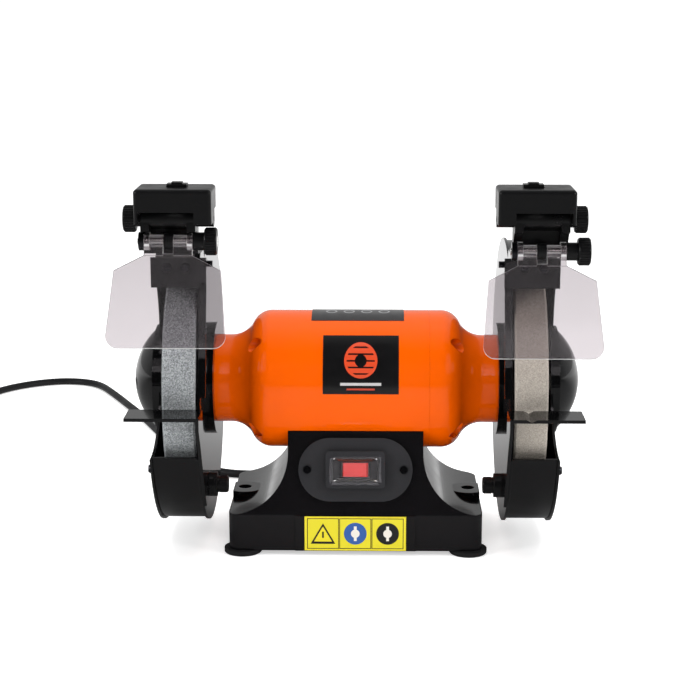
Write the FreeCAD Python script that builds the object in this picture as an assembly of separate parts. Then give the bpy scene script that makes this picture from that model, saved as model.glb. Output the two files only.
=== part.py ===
import FreeCAD, Part

import math
import os

# Double-ended bench grinder.  Millimetres, +Z up, +X to the user's right, the user at -Y.
# The origin is on the bench, midway between the feet, straight below the spindle.

V = FreeCAD.Vector
X_AXIS = V(1, 0, 0)
Y_AXIS = V(0, 1, 0)
Z_AXIS = V(0, 0, 1)
LEFT, RIGHT = -1, 1
SIDES = (("left", LEFT), ("right", RIGHT))

# ---- fits -----------------------------------------------------------------------------
RUNNING_CLEARANCE = 0.05      # radial, shaft or pin in its bore
SCREW_CLEARANCE = 0.3         # radial, screw shank in its hole
MOVING_GAP = 0.3              # between faces of pieces that slide or turn past each other
FLANGE_GAP = 0.5              # between a guard and what spins inside its boss

# ---- spindle and wheels ---------------------------------------------------------------
AXIS_HEIGHT = 130.0           # spindle axis above the bench
WHEEL_DIAMETER = 200.0
WHEEL_WIDTH = 25.0
WHEEL_INNER_FACE = 121.0      # from the middle of the grinder to the near face of a wheel
WHEEL_CHAMFER = 1.5
SHAFT_DIAMETER = 16.0         # where the wheels sit
JOURNAL_DIAMETER = 17.0       # where the bearings sit
ROTOR_SEAT_DIAMETER = 22.0
FLANGE_DIAMETER = 50.0
FLANGE_THICKNESS = 4.0
BLOTTER_THICKNESS = 1.0
BLOTTER_DIAMETER = 56.0
NUT_FLATS = 24.0
NUT_HEIGHT = 11.0
SHAFT_PAST_NUT = 3.0

# ---- motor ----------------------------------------------------------------------------
BARREL_DIAMETER = 111.0
BARREL_HALF_LENGTH = 68.0     # where the shoulder arc begins
SHOULDER_RADIUS = 17.0
NECK_FILLET = 20.0
NECK_DIAMETER = 70.8
NECK_END = 112.5              # face that the guards bolt to
MOTOR_WALL = 3.5
SEAM_X = 58.0                 # joint between the housing and its end bell
HUB_DEPTH = 14.5              # length of the bearing hub behind the neck face
HUB_LIP = 2.5
BEARING_OUTER_DIAMETER = 40.0
BEARING_WIDTH = 12.0
BEARING_RING_WALL = 2.8
BALLS_PER_BEARING = 8
CORE_HALF_LENGTH = 30.0
ROTOR_DIAMETER = 60.0
AIR_GAP = 0.5
WINDING_LENGTH = 14.0
WINDING_WALL = 13.0
BOLT_CIRCLE_RADIUS = 48.5     # long bolts that hold the end bells
BOLT_SHANK = 2.5
BOLT_HEAD_RADIUS = 4.2
BOLT_HEAD_HEIGHT = 3.2
BOLT_SEAT_X = 67.0
POCKET_RADIUS = 5.6
BOLT_BOSS_RADIUS = 8.5

# ---- base -----------------------------------------------------------------------------
BASE_HALF_WIDTH = 100.5
BASE_HALF_DEPTH = 62.0
BASE_CORNER_RADIUS = 10.0
FOOT_HEIGHT = 4.0
PLINTH_TOP = 33.0             # above the bench
FLARE_RADIUS = 47.0
FACE_TOP_HALF_DEPTH = 45.0    # half depth of the pedestal where it meets the barrel
FACE_TOP_HEIGHT = 98.0
BASE_WALL = 4.0
SADDLE_WALL = 4.0
LUG_SPACING = 183.0           # bench bolt holes, centre to centre
LUG_HOLE_DIAMETER = 10.5
LUG_PAD_RADIUS = 15.5
LUG_PAD_TOP = 38.0
LUG_COLUMN_RADIUS = 9.0
FOOT_RADIUS = 15.0
FOOT_X = 89.5
FOOT_Y = 52.0
FOOT_POST_RADIUS = 7.0
FOOT_POST_TOP = 22.0
FOOT_SCREW_RADIUS = 2.0
COVER_SHEET = 1.2
COVER_INSET = 0.5
PANEL_HALF_WIDTH = 47.7
PANEL_RAISE = 0.8
HAZARD_LABEL_SIZE = (80.0, 28.0)
LABEL_THICKNESS = 0.3

# ---- switch ---------------------------------------------------------------------------
SWITCH_HEIGHT = 68.0          # centre of the plate above the bench
SWITCH_PLATE_SIZE = (90.0, 50.0)
SWITCH_PLATE_THICKNESS = 2.5
BEZEL_SIZE = (47.0, 29.0)
BEZEL_DEPTH = 5.0
SWITCH_BODY_SIZE = (36.6, 19.5)
SWITCH_BODY_DEPTH = 22.0
ROCKER_SIZE = (20.5, 10.8)
ROCKER_TILT = 7.0             # degrees each side of level
SWITCH_SCREW_SPACING = 76.0
SWITCH_SCREW_HEAD = 3.15      # radius

# ---- wheel guards ---------------------------------------------------------------------
GUARD_RADIUS = 112.4
GUARD_SHEET = 2.0
GUARD_INNER_PLANE = 117.5
GUARD_BOSS_RADIUS = 45.0
GUARD_OUTER_PLANE = 155.3
GUARD_LIP_LOW = -20.0         # degrees above the front horizontal, where the band starts
GUARD_LIP_HIGH = 54.0         # degrees, where it ends
GUARD_RIM = 1.8               # the side plates stand out this far beyond the band
GUARD_EDGE_FLANGE = 4.0
DOME_RADIUS = 43.0            # radius of the dome where it leaves the cover
DOME_RING = 5.5               # height of the round step under the dome
DOME_TIP = 179.3
COVER_WAIST_Y = 46.0
GUARD_SCREW_CIRCLE = 27.5
COVER_SCREW_RADIUS = 3.6

# ---- spark deflector ------------------------------------------------------------------
DEFLECTOR_WIDTH = 42.0
DEFLECTOR_BOTTOM = 88.0       # above the spindle axis
DEFLECTOR_HEIGHT = 23.0
DEFLECTOR_THICKNESS = 2.0
DEFLECTOR_Y = 78.0            # back face, in front of the spindle axis
DEFLECTOR_SCREW_SPACING = 14.0
DEFLECTOR_SCREW_Z = 103.5
DEFLECTOR_TRAVEL_UP = 3.0
DEFLECTOR_TRAVEL_DOWN = 3.0
DEFLECTOR_SCREW_SHANK = 2.0
DEFLECTOR_SCREW_HEAD = 3.8

# ---- lamp bracket and eye shield ------------------------------------------------------
BRACKET_X = 139.0             # middle of the bracket, from the middle of the grinder
BRACKET_WIDTH = 41.0
PIVOT_Y = 88.5                # both hinge axes, in front of the spindle axis
PIVOT_Z = {"left": 125.0, "right": 118.0}
PIVOT_ROD_RADIUS = 2.5
SHIELD_BARREL_RADIUS = 4.8
SHIELD_BARREL_LENGTH = 36.0
LUG_WIDTH = 7.0               # bracket lug between the two halves of the shield's barrel
SHIELD_SHEET = 2.5
SHIELD_TILT = 25.0            # degrees out from vertical
SHIELD_LENGTH = 83.0          # from the pivot to the bottom edge
SHIELD_NECK_WIDTH = 31.0
SHIELD_SHOULDER_WIDTH = 80.0
SHIELD_BOTTOM_WIDTH = 90.0
SHIELD_NECK_DROP = 11.0
SHIELD_SHOULDER_DROP = 24.0
SHIELD_CORNER = 9.0
SHIELD_KNOB_RADIUS = 10.0
SHIELD_KNOB_LENGTH = 9.5
SHIELD_STEM_RADIUS = 6.8
SHIELD_STEM_LENGTH = 8.5
PIVOT_NUT_RADIUS = 7.0
PIVOT_NUT_LENGTH = 4.0
LAMP_AXIS_Z = 142.0
BRACKET_TOP_RADIUS = 6.0
BRACKET_BOLT_Z = 104.0
BRACKET_BOLT_Y = 64.0
BRACKET_CHEEK = 2.5

# ---- lamp -----------------------------------------------------------------------------
LAMP_X = 133.8
LAMP_WIDTH = 57.5
LAMP_DEPTH = 40.0
LAMP_FRONT_Y = 109.0
LAMP_TOP_Z = 166.0
LAMP_CORNER = 3.0
LAMP_SKIRT_DROP = 2.0         # the front skirt reaches this far below the hinge line
LAMP_WALL = 2.0
LAMP_LENS_RADIUS = 6.0
LAMP_SWITCH_SIZE = (15.0, 10.0)
LAMP_SWITCH_TRAVEL = 2.0      # each side of the middle of its slot
LAMP_KNOB_RADIUS = 9.7
LAMP_KNOB_LENGTH = 9.5
LAMP_BOLT_RADIUS = 2.5

# ---- tool rest ------------------------------------------------------------------------
REST_FRONT_Y = 131.0
REST_BACK_Y = 103.0
REST_OUTER_X = 170.6
REST_SHEET = 2.5
REST_TOP_Z = -1.0
REST_BOLT_Y = 60.0
REST_BOLT_Z = -72.0
REST_STUD_RADIUS = 3.0
REST_TRAVEL_IN = 1.5
REST_TRAVEL_OUT = 12.0
REST_LEG_WIDTH = 22.0
REST_KNOB_RADIUS = 6.4
REST_KNOB_END = 99.7
REST_COLLAR_RADIUS = 9.5
REST_COLLAR_LENGTH = 6.5
VEE_X = 131.0
VEE_DEPTH = 2.0
VEE_HALF_WIDTH = 4.0

# ---- mains cord -----------------------------------------------------------------------
CORD_DIAMETER = 7.5
CORD_EXIT_X = -30.0
CORD_EXIT_Z = 17.0
RELIEF_LENGTH = 35.0
RELIEF_ROOT_RADIUS = 8.0
RELIEF_TIP_RADIUS = 5.2
CORD_FLOOR = CORD_DIAMETER / 2 + 0.3
CORD_START_Y = BASE_HALF_DEPTH + RELIEF_LENGTH
CORD_ROUTE = [
    (CORD_EXIT_X, CORD_START_Y, CORD_EXIT_Z),
    (-30.0, 119.0, 15.0),
    (-45.0, 144.0, 8.0),
    (-78.0, 152.0, CORD_FLOOR),
    (-112.0, 150.0, CORD_FLOOR),
    (-143.0, 167.0, CORD_FLOOR),
    (-164.0, 203.0, CORD_FLOOR),
    (-183.0, 252.0, CORD_FLOOR),
    (-203.0, 304.0, CORD_FLOOR),
    (-224.0, 357.0, CORD_FLOOR),
    (-247.0, 408.0, CORD_FLOOR),
    (-270.0, 458.0, CORD_FLOOR),
    (-291.0, 500.0, CORD_FLOOR),
    (-312.0, 516.0, CORD_FLOOR),
    (-338.0, 519.0, CORD_FLOOR),
    (-363.0, 509.0, CORD_FLOOR),
    (-385.0, 491.0, CORD_FLOOR),
    (-402.0, 466.0, CORD_FLOOR),
    (-411.0, 439.0, CORD_FLOOR),
]
COIL_MEAN_DIAMETER = 84.0
COIL_TURNS_ACROSS = 2
COIL_TURNS_HIGH = 2
PLUG_BODY = (38.0, 26.0, 17.0)
PLUG_PIN_RADIUS = 2.4
PLUG_PIN_LENGTH = 19.0
PLUG_PIN_SPACING = 19.0
PLUG_NECK_LENGTH = 22.0
PLUG_TURN = -70.0             # degrees, way the plug points on the bench

# ---- values worked out from the sizes above ---------------------------------------------
WHEEL_RADIUS = WHEEL_DIAMETER / 2
BARREL_RADIUS = BARREL_DIAMETER / 2
NECK_RADIUS = NECK_DIAMETER / 2
WHEEL_OUTER_FACE = WHEEL_INNER_FACE + WHEEL_WIDTH
OUTER_FLANGE_FACE = WHEEL_OUTER_FACE + BLOTTER_THICKNESS + FLANGE_THICKNESS
SHAFT_END = OUTER_FLANGE_FACE + NUT_HEIGHT + SHAFT_PAST_NUT
INNER_FLANGE_FACE = WHEEL_INNER_FACE - BLOTTER_THICKNESS - FLANGE_THICKNESS
LEAN = math.degrees(math.atan((BASE_HALF_DEPTH - FACE_TOP_HALF_DEPTH) / (FACE_TOP_HEIGHT - PLINTH_TOP)))


# ---- shape helpers ----------------------------------------------------------------------
def span(a, b):
    """The lower and the upper of two numbers."""
    return min(a, b), max(a, b)


def box(x0, x1, y0, y1, z0, z1):
    """Box between two corners, given in any order."""
    xa, xb = span(x0, x1)
    ya, yb = span(y0, y1)
    za, zb = span(z0, z1)
    return Part.makeBox(xb - xa, yb - ya, zb - za, V(xa, ya, za))


def rod_x(x0, x1, radius, y=0.0, z=AXIS_HEIGHT):
    """Cylinder along X."""
    low, high = span(x0, x1)
    return Part.makeCylinder(radius, high - low, V(low, y, z), X_AXIS)


def rod_y(y0, y1, radius, x, z):
    """Cylinder along Y."""
    low, high = span(y0, y1)
    return Part.makeCylinder(radius, high - low, V(x, low, z), Y_AXIS)


def rod_z(z0, z1, radius, x=0.0, y=0.0):
    """Cylinder along Z."""
    low, high = span(z0, z1)
    return Part.makeCylinder(radius, high - low, V(x, y, low), Z_AXIS)


def ring_x(x0, x1, outer, inner, y=0.0, z=AXIS_HEIGHT):
    """Hollow cylinder along X."""
    low, high = span(x0, x1)
    return rod_x(low, high, outer, y, z).cut(rod_x(low - 1, high + 1, inner, y, z))


def polygon_face(points):
    """Flat face from its corner points."""
    return Part.Face(Part.makePolygon([V(*p) for p in points] + [V(*points[0])]))


def plate_yz(points, x0, x1):
    """Plate with a (y, z) outline, from x0 to x1."""
    return polygon_face([(x0, y, z) for y, z in points]).extrude(V(x1 - x0, 0, 0))


def plate_xz(points, y0, y1):
    """Plate with an (x, z) outline, from y0 to y1."""
    return polygon_face([(x, y0, z) for x, z in points]).extrude(V(0, y1 - y0, 0))


def fuse(first, *others):
    """One solid from several, without seams."""
    return first.fuse(list(others)).removeSplitter()


def mirrored(shape, side):
    """The shape for one end of the grinder, from the shape drawn for the right end."""
    if side == RIGHT:
        return shape
    return shape.mirror(V(0, 0, 0), X_AXIS)


def polar(radius, degrees):
    """(y, z) of a point around the spindle, degrees up from the front horizontal."""
    angle = math.radians(degrees)
    return -radius * math.cos(angle), AXIS_HEIGHT + radius * math.sin(angle)


def rounded_bar(width, height, depth, radius):
    """Bar along -Y from y=0, centred in X and Z, with rounded long edges."""
    bar = box(-width / 2, width / 2, -depth, 0, -height / 2, height / 2)
    edges = [e for e in bar.Edges if abs(e.Vertexes[0].X - e.Vertexes[1].X) < 1e-6
             and abs(e.Vertexes[0].Z - e.Vertexes[1].Z) < 1e-6]
    return bar.makeFillet(radius, edges)


def hexagon_x(x0, x1, flats):
    """Hexagonal prism along X on the spindle axis."""
    corner = flats / math.sqrt(3)
    points = [polar(corner, 30 + 60 * i) for i in range(6)]
    return plate_yz(points, x0, x1)


# The pieces are drawn about the spindle's own plane and then moved back by this much, so that
# the part's origin lies under the middle of its outline: rest tables in front, guards behind.
OUTLINE_SHIFT_Y = (REST_FRONT_Y - GUARD_RADIUS - GUARD_RIM) / 2


def save(name, *solids):
    """Write one node, as one solid or as a group of separate solids, centred on the part's outline."""
    shape = solids[0] if len(solids) == 1 else Part.makeCompound(list(solids))
    shape = shape.translated(V(0, OUTLINE_SHIFT_Y, 0))
    if not shape.isValid():
        raise RuntimeError("%s isn't a valid shape" % name)
    shape.exportStep("parts/%s.step" % name)


# ---- spindle, rotor and wheels ----------------------------------------------------------
def make_shaft():
    journal_end = NECK_END - HUB_LIP
    shaft = rod_x(-SHAFT_END, SHAFT_END, SHAFT_DIAMETER / 2)
    journal = rod_x(-journal_end, journal_end, JOURNAL_DIAMETER / 2)
    seat_end = NECK_END - HUB_DEPTH
    seat = rod_x(-seat_end, seat_end, ROTOR_SEAT_DIAMETER / 2)
    return fuse(shaft, journal, seat)


def make_rotor():
    rotor = ring_x(-CORE_HALF_LENGTH, CORE_HALF_LENGTH, ROTOR_DIAMETER / 2, ROTOR_SEAT_DIAMETER / 2)
    end_ring_length = 4.0
    rings = [ring_x(s * CORE_HALF_LENGTH, s * (CORE_HALF_LENGTH + end_ring_length),
                    ROTOR_DIAMETER / 2 - 1.5, ROTOR_DIAMETER / 2 - 9.0) for s in (LEFT, RIGHT)]
    return fuse(rotor, *rings)


def make_wheel(side):
    wheel = ring_x(side * WHEEL_INNER_FACE, side * WHEEL_OUTER_FACE, WHEEL_RADIUS, SHAFT_DIAMETER / 2)
    rims = [e for e in wheel.Edges if abs(e.Length - 2 * math.pi * WHEEL_RADIUS) < 1e-3]
    return wheel.makeChamfer(WHEEL_CHAMFER, rims)


def wheel_clamp(side):
    """Flanges, blotters and nut of one end, as three lists."""
    bore = SHAFT_DIAMETER / 2
    relief = 1.0
    inner = ring_x(side * INNER_FLANGE_FACE, side * (WHEEL_INNER_FACE - BLOTTER_THICKNESS),
                   FLANGE_DIAMETER / 2, bore)
    outer = ring_x(side * (WHEEL_OUTER_FACE + BLOTTER_THICKNESS), side * OUTER_FLANGE_FACE,
                   FLANGE_DIAMETER / 2, bore)
    inner = inner.cut(ring_x(side * (WHEEL_INNER_FACE - BLOTTER_THICKNESS - relief),
                             side * WHEEL_INNER_FACE, FLANGE_DIAMETER / 2 - 8, bore - 1))
    outer = outer.cut(ring_x(side * WHEEL_OUTER_FACE,
                             side * (WHEEL_OUTER_FACE + BLOTTER_THICKNESS + relief),
                             FLANGE_DIAMETER / 2 - 8, bore - 1))
    blotters = [ring_x(side * (WHEEL_INNER_FACE - BLOTTER_THICKNESS), side * WHEEL_INNER_FACE,
                       BLOTTER_DIAMETER / 2, bore),
                ring_x(side * WHEEL_OUTER_FACE, side * (WHEEL_OUTER_FACE + BLOTTER_THICKNESS),
                       BLOTTER_DIAMETER / 2, bore)]
    nut = hexagon_x(side * OUTER_FLANGE_FACE, side * (OUTER_FLANGE_FACE + NUT_HEIGHT), NUT_FLATS)
    nut = nut.cut(rod_x(-SHAFT_END, SHAFT_END, bore))
    return [inner, outer], blotters, [nut]


# ---- bearings ---------------------------------------------------------------------------
def bearing(side):
    """Outer ring, balls and inner ring of one bearing."""
    near = NECK_END - HUB_LIP - BEARING_WIDTH
    far = NECK_END - HUB_LIP
    outer_radius = BEARING_OUTER_DIAMETER / 2
    inner_radius = JOURNAL_DIAMETER / 2
    pitch = (outer_radius + inner_radius) / 2
    ball = (outer_radius - inner_radius) / 2 - 1.4
    middle = (near + far) / 2
    outer = ring_x(side * near, side * far, outer_radius, outer_radius - BEARING_RING_WALL)
    inner = ring_x(side * near, side * far, inner_radius + BEARING_RING_WALL, inner_radius)
    groove = Part.makeTorus(pitch, ball + RUNNING_CLEARANCE, V(side * middle, 0, AXIS_HEIGHT), X_AXIS)
    balls = []
    for i in range(BALLS_PER_BEARING):
        y, z = polar(pitch, 360.0 * i / BALLS_PER_BEARING)
        balls.append(Part.makeSphere(ball, V(side * middle, y, z)))
    return outer.cut(groove), balls, inner.cut(groove)


# ---- motor shell ------------------------------------------------------------------------
def motor_profile(side, wall, end):
    """Solid of revolution of one half of the motor, shrunk inwards by a wall thickness."""
    shoulder = SHOULDER_RADIUS - wall
    fillet = NECK_FILLET + wall
    shoulder_centre_r = BARREL_RADIUS - SHOULDER_RADIUS
    fillet_centre_r = NECK_RADIUS + NECK_FILLET
    rise = fillet_centre_r - shoulder_centre_r
    between = SHOULDER_RADIUS + NECK_FILLET
    run = math.sqrt(between ** 2 - rise ** 2)
    lean = math.atan2(rise, run)
    fillet_x = BARREL_HALF_LENGTH + run

    def on_shoulder(angle):
        return (BARREL_HALF_LENGTH + shoulder * math.cos(angle),
                shoulder_centre_r + shoulder * math.sin(angle))

    def on_fillet(angle):
        return (fillet_x + fillet * math.cos(angle), fillet_centre_r + fillet * math.sin(angle))

    def point(xr):
        return V(side * xr[0], 0, AXIS_HEIGHT + xr[1])

    top = math.pi / 2
    touch = on_shoulder(lean)
    bottom = on_fillet(-top)
    edges = [
        Part.LineSegment(point((0, 0)), point((0, BARREL_RADIUS - wall))).toShape(),
        Part.LineSegment(point((0, BARREL_RADIUS - wall)), point(on_shoulder(top))).toShape(),
        Part.Arc(point(on_shoulder(top)), point(on_shoulder((top + lean) / 2)), point(touch)).toShape(),
        Part.Arc(point(touch), point(on_fillet((lean - math.pi - top) / 2)), point(bottom)).toShape(),
        Part.LineSegment(point(bottom), point((end, NECK_RADIUS - wall))).toShape(),
        Part.LineSegment(point((end, NECK_RADIUS - wall)), point((end, 0))).toShape(),
        Part.LineSegment(point((end, 0)), point((0, 0))).toShape(),
    ]
    face = Part.Face(Part.Wire(edges))
    return face.revolve(V(0, 0, AXIS_HEIGHT), X_AXIS, 360)


def bolt_places():
    """(y, z) of the four long bolts."""
    return [polar(BOLT_CIRCLE_RADIUS, 45 + 90 * i) for i in range(4)]


def motor_half(side):
    """Hollow half of the motor with its bearing hub, bolt bosses and bolt pockets."""
    outer = motor_profile(side, 0.0, NECK_END)
    inner = motor_profile(side, MOTOR_WALL, NECK_END - HUB_DEPTH)
    shell = outer.cut(inner)
    for y, z in bolt_places():
        boss = rod_x(side * (BOLT_SEAT_X - 10), side * (BOLT_SEAT_X + 24), BOLT_BOSS_RADIUS, y, z)
        shell = shell.fuse(boss.common(outer))
    for y, z in bolt_places():
        pocket = rod_x(side * BOLT_SEAT_X, side * (BOLT_SEAT_X + 25), POCKET_RADIUS, y, z)
        hole = rod_x(side * (BOLT_SEAT_X - 12), side * BOLT_SEAT_X, BOLT_SHANK + SCREW_CLEARANCE, y, z)
        shell = shell.cut(pocket).cut(hole)
    seat = rod_x(side * (NECK_END - HUB_DEPTH - 1), side * (NECK_END - HUB_LIP), BEARING_OUTER_DIAMETER / 2)
    mouth = rod_x(side * (NECK_END - HUB_LIP - 1), side * (NECK_END + 1), JOURNAL_DIAMETER / 2 + 2)
    shell = shell.cut(seat).cut(mouth)
    for y, z in guard_screw_places():
        shell = shell.cut(rod_x(side * (NECK_END - HUB_DEPTH + 2), side * (NECK_END + 1), BOLT_SHANK, y, z))
    return shell


def guard_screw_places():
    """(y, z) of the three screws that hold a guard to the neck face."""
    return [polar(GUARD_SCREW_CIRCLE, 90 + 120 * i) for i in range(3)]


def make_motor():
    left = motor_half(LEFT)
    right = motor_half(RIGHT)
    beyond_seam = box(SEAM_X, SHAFT_END, -BARREL_DIAMETER, BARREL_DIAMETER, 0, 2 * AXIS_HEIGHT)
    housing = left.fuse(right.cut(beyond_seam)).removeSplitter()
    end_bell = right.common(beyond_seam)
    return housing, end_bell


def make_housing_bolts():
    bolts = []
    for side in (LEFT, RIGHT):
        for y, z in bolt_places():
            start = SEAM_X - 1 if side == LEFT else SEAM_X - 24
            shank = rod_x(side * start, side * BOLT_SEAT_X, BOLT_SHANK, y, z)
            head = rod_x(side * BOLT_SEAT_X, side * (BOLT_SEAT_X + BOLT_HEAD_HEIGHT),
                    BOLT_HEAD_RADIUS, y, z)
            slot = box(side * (BOLT_SEAT_X + BOLT_HEAD_HEIGHT - 1.2),
                    side * (BOLT_SEAT_X + BOLT_HEAD_HEIGHT + 1),
                       y - 0.6, y + 0.6, z - BOLT_HEAD_RADIUS, z + BOLT_HEAD_RADIUS)
            bolts.append(shank.fuse(head).removeSplitter().cut(slot))
    return bolts


def make_stator():
    core_radius = BARREL_RADIUS - MOTOR_WALL
    bore = ROTOR_DIAMETER / 2 + AIR_GAP
    core = ring_x(-CORE_HALF_LENGTH, CORE_HALF_LENGTH, core_radius, bore)
    slot_count = 24
    for i in range(slot_count):
        y, z = polar(bore + 5, 360.0 * i / slot_count)
        core = core.cut(rod_x(-CORE_HALF_LENGTH - 1, CORE_HALF_LENGTH + 1, 2.4, y, z))
    windings = []
    for side in (LEFT, RIGHT):
        coil = ring_x(side * CORE_HALF_LENGTH, side * (CORE_HALF_LENGTH + WINDING_LENGTH),
                      bore + WINDING_WALL, bore + 1.5)
        ends = [e for e in coil.Edges if e.Length > 2 * math.pi * bore
                and abs(e.CenterOfMass.x - side * (CORE_HALF_LENGTH + WINDING_LENGTH)) < 1e-3]
        windings.append(coil.makeFillet(4.0, ends))
    return core, windings


# ---- base -------------------------------------------------------------------------------
def base_block(inset, bottom):
    """Solid block of the base, with its walls moved in by an inset."""
    half_width = BASE_HALF_WIDTH - inset
    top = AXIS_HEIGHT
    flare = FLARE_RADIUS + inset
    arc_centre_z = PLINTH_TOP + FLARE_RADIUS
    corner = V(BASE_HALF_WIDTH, 0, arc_centre_z - flare)
    edges = []
    for side in (RIGHT, LEFT):
        waist = V(side * (BASE_HALF_WIDTH - flare), 0, arc_centre_z)
        diagonal = flare / math.sqrt(2)
        middle = V(side * (BASE_HALF_WIDTH - diagonal), 0, arc_centre_z - diagonal)
        rim = V(side * corner.x, 0, corner.z)
        edges.append(Part.Arc(rim, middle, waist).toShape())
        edges.append(Part.LineSegment(waist, V(waist.x, 0, top)).toShape())
        edges.append(Part.LineSegment(rim, V(rim.x, 0, bottom)).toShape())
    waist_x = BASE_HALF_WIDTH - flare
    edges.append(Part.LineSegment(V(-waist_x, 0, top), V(waist_x, 0, top)).toShape())
    edges.append(Part.LineSegment(V(-corner.x, 0, bottom), V(corner.x, 0, bottom)).toShape())
    front = Part.Face(Part.Wire(Part.__sortEdges__(edges)))
    depth = BASE_HALF_DEPTH * 2
    front.translate(V(0, -depth / 2, 0))
    flared = front.extrude(V(0, depth, 0))
    slope = (BASE_HALF_DEPTH - FACE_TOP_HALF_DEPTH) / (FACE_TOP_HEIGHT - PLINTH_TOP)
    top_depth = BASE_HALF_DEPTH - slope * (top - PLINTH_TOP)
    section = [(BASE_HALF_DEPTH - inset, bottom), (BASE_HALF_DEPTH - inset, PLINTH_TOP),
               (top_depth - inset, top), (inset - top_depth, top),
               (inset - BASE_HALF_DEPTH, PLINTH_TOP), (inset - BASE_HALF_DEPTH, bottom)]
    leaning = plate_yz(section, -half_width, half_width)
    plan = box(-half_width, half_width, inset - BASE_HALF_DEPTH, BASE_HALF_DEPTH - inset, bottom, top)
    uprights = [e for e in plan.Edges if abs(e.Vertexes[0].Z - e.Vertexes[1].Z) > 1]
    plan = plan.makeFillet(BASE_CORNER_RADIUS - inset / 2, uprights)
    return flared.common(leaning).common(plan)


def lug_x(side):
    return side * LUG_SPACING / 2


def foot_places():
    return [(x, y) for x in (-FOOT_X, FOOT_X) for y in (-FOOT_Y, FOOT_Y)]


def to_switch_face(shape):
    """Move a shape drawn upright at the origin onto the leaning front face."""
    shape.rotate(V(0, 0, 0), X_AXIS, -LEAN)
    slope = math.tan(math.radians(LEAN))
    y = -(BASE_HALF_DEPTH - slope * (SWITCH_HEIGHT - PLINTH_TOP))
    shape.translate(V(0, y, SWITCH_HEIGHT))
    return shape


def make_base():
    outer = base_block(0.0, FOOT_HEIGHT)
    inner = base_block(BASE_WALL, FOOT_HEIGHT)
    saddle = rod_x(-BASE_HALF_WIDTH, BASE_HALF_WIDTH, BARREL_RADIUS + SADDLE_WALL)
    base = outer.cut(inner.cut(saddle))
    panel = box(-PANEL_HALF_WIDTH, PANEL_HALF_WIDTH, -BASE_HALF_DEPTH - PANEL_RAISE,
                -BASE_HALF_DEPTH + 1, FOOT_HEIGHT, PLINTH_TOP)
    base = base.fuse(panel)
    for side in (LEFT, RIGHT):
        x = lug_x(side)
        pad = rod_z(FOOT_HEIGHT, LUG_PAD_TOP, LUG_PAD_RADIUS, x, 0)
        bounds = box(-BASE_HALF_WIDTH, BASE_HALF_WIDTH, -LUG_PAD_RADIUS, LUG_PAD_RADIUS,
                     PLINTH_TOP - BASE_WALL / 2, LUG_PAD_TOP)
        column = rod_z(FOOT_HEIGHT, PLINTH_TOP, LUG_COLUMN_RADIUS, x, 0)
        base = base.fuse(pad.common(bounds)).fuse(column.common(outer))
    for x, y in foot_places():
        post = rod_z(FOOT_HEIGHT + COVER_SHEET, FOOT_POST_TOP, FOOT_POST_RADIUS, x, y)
        base = base.fuse(post.common(outer))
    base = base.removeSplitter()
    for side in (LEFT, RIGHT):
        base = base.cut(rod_z(0, LUG_PAD_TOP + 5, LUG_HOLE_DIAMETER / 2, lug_x(side), 0))
    for x, y in foot_places():
        base = base.cut(rod_z(0, FOOT_POST_TOP - 4, FOOT_SCREW_RADIUS, x, y))
        relief = rod_z(0, FOOT_HEIGHT + COVER_SHEET, FOOT_POST_RADIUS, x, y)
        base = base.cut(relief.common(inner))
    opening = box(-SWITCH_BODY_SIZE[0] / 2 - MOVING_GAP, SWITCH_BODY_SIZE[0] / 2 + MOVING_GAP, -1, 12,
                  -SWITCH_BODY_SIZE[1] / 2 - MOVING_GAP, SWITCH_BODY_SIZE[1] / 2 + MOVING_GAP)
    base = base.cut(to_switch_face(opening))
    for side in (LEFT, RIGHT):
        hole = rod_y(-1, 8, 1.5, side * SWITCH_SCREW_SPACING / 2, 0)
        base = base.cut(to_switch_face(hole))
    cord_hole = rod_y(BASE_HALF_DEPTH - 10, BASE_HALF_DEPTH + 1, RELIEF_TIP_RADIUS, CORD_EXIT_X,
            CORD_EXIT_Z)
    base = base.cut(cord_hole)
    return base.cut(rod_x(-BASE_HALF_WIDTH, BASE_HALF_WIDTH, BARREL_RADIUS))


def make_base_cover():
    inset = BASE_WALL + COVER_INSET
    sheet = base_block(inset, FOOT_HEIGHT).common(
        box(-BASE_HALF_WIDTH, BASE_HALF_WIDTH, -BASE_HALF_DEPTH, BASE_HALF_DEPTH,
            FOOT_HEIGHT, FOOT_HEIGHT + COVER_SHEET))
    for side in (LEFT, RIGHT):
        sheet = sheet.cut(rod_z(0, 10, LUG_COLUMN_RADIUS + COVER_INSET, lug_x(side), 0))
    for x, y in foot_places():
        sheet = sheet.cut(rod_z(0, 10, FOOT_SCREW_RADIUS + SCREW_CLEARANCE, x, y))
    vent_count = 7
    for i in range(vent_count):
        x = 9.0 * (i - (vent_count - 1) / 2)
        sheet = sheet.cut(box(x - 1.5, x + 1.5, -18, 18, 0, 10))
    return sheet


def make_feet():
    """Rubber discs, each moulded round the screw that holds it."""
    feet = []
    for x, y in foot_places():
        disc = rod_z(0, FOOT_HEIGHT, FOOT_RADIUS, x, y)
        rims = [e for e in disc.Edges if e.Length > 2 * math.pi * FOOT_RADIUS - 1e-3
                and e.CenterOfMass.z < 1]
        disc = disc.makeFillet(1.2, rims)
        feet.append(disc.fuse(rod_z(FOOT_HEIGHT - 1, FOOT_POST_TOP - 6, FOOT_SCREW_RADIUS, x, y)))
    return feet


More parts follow.
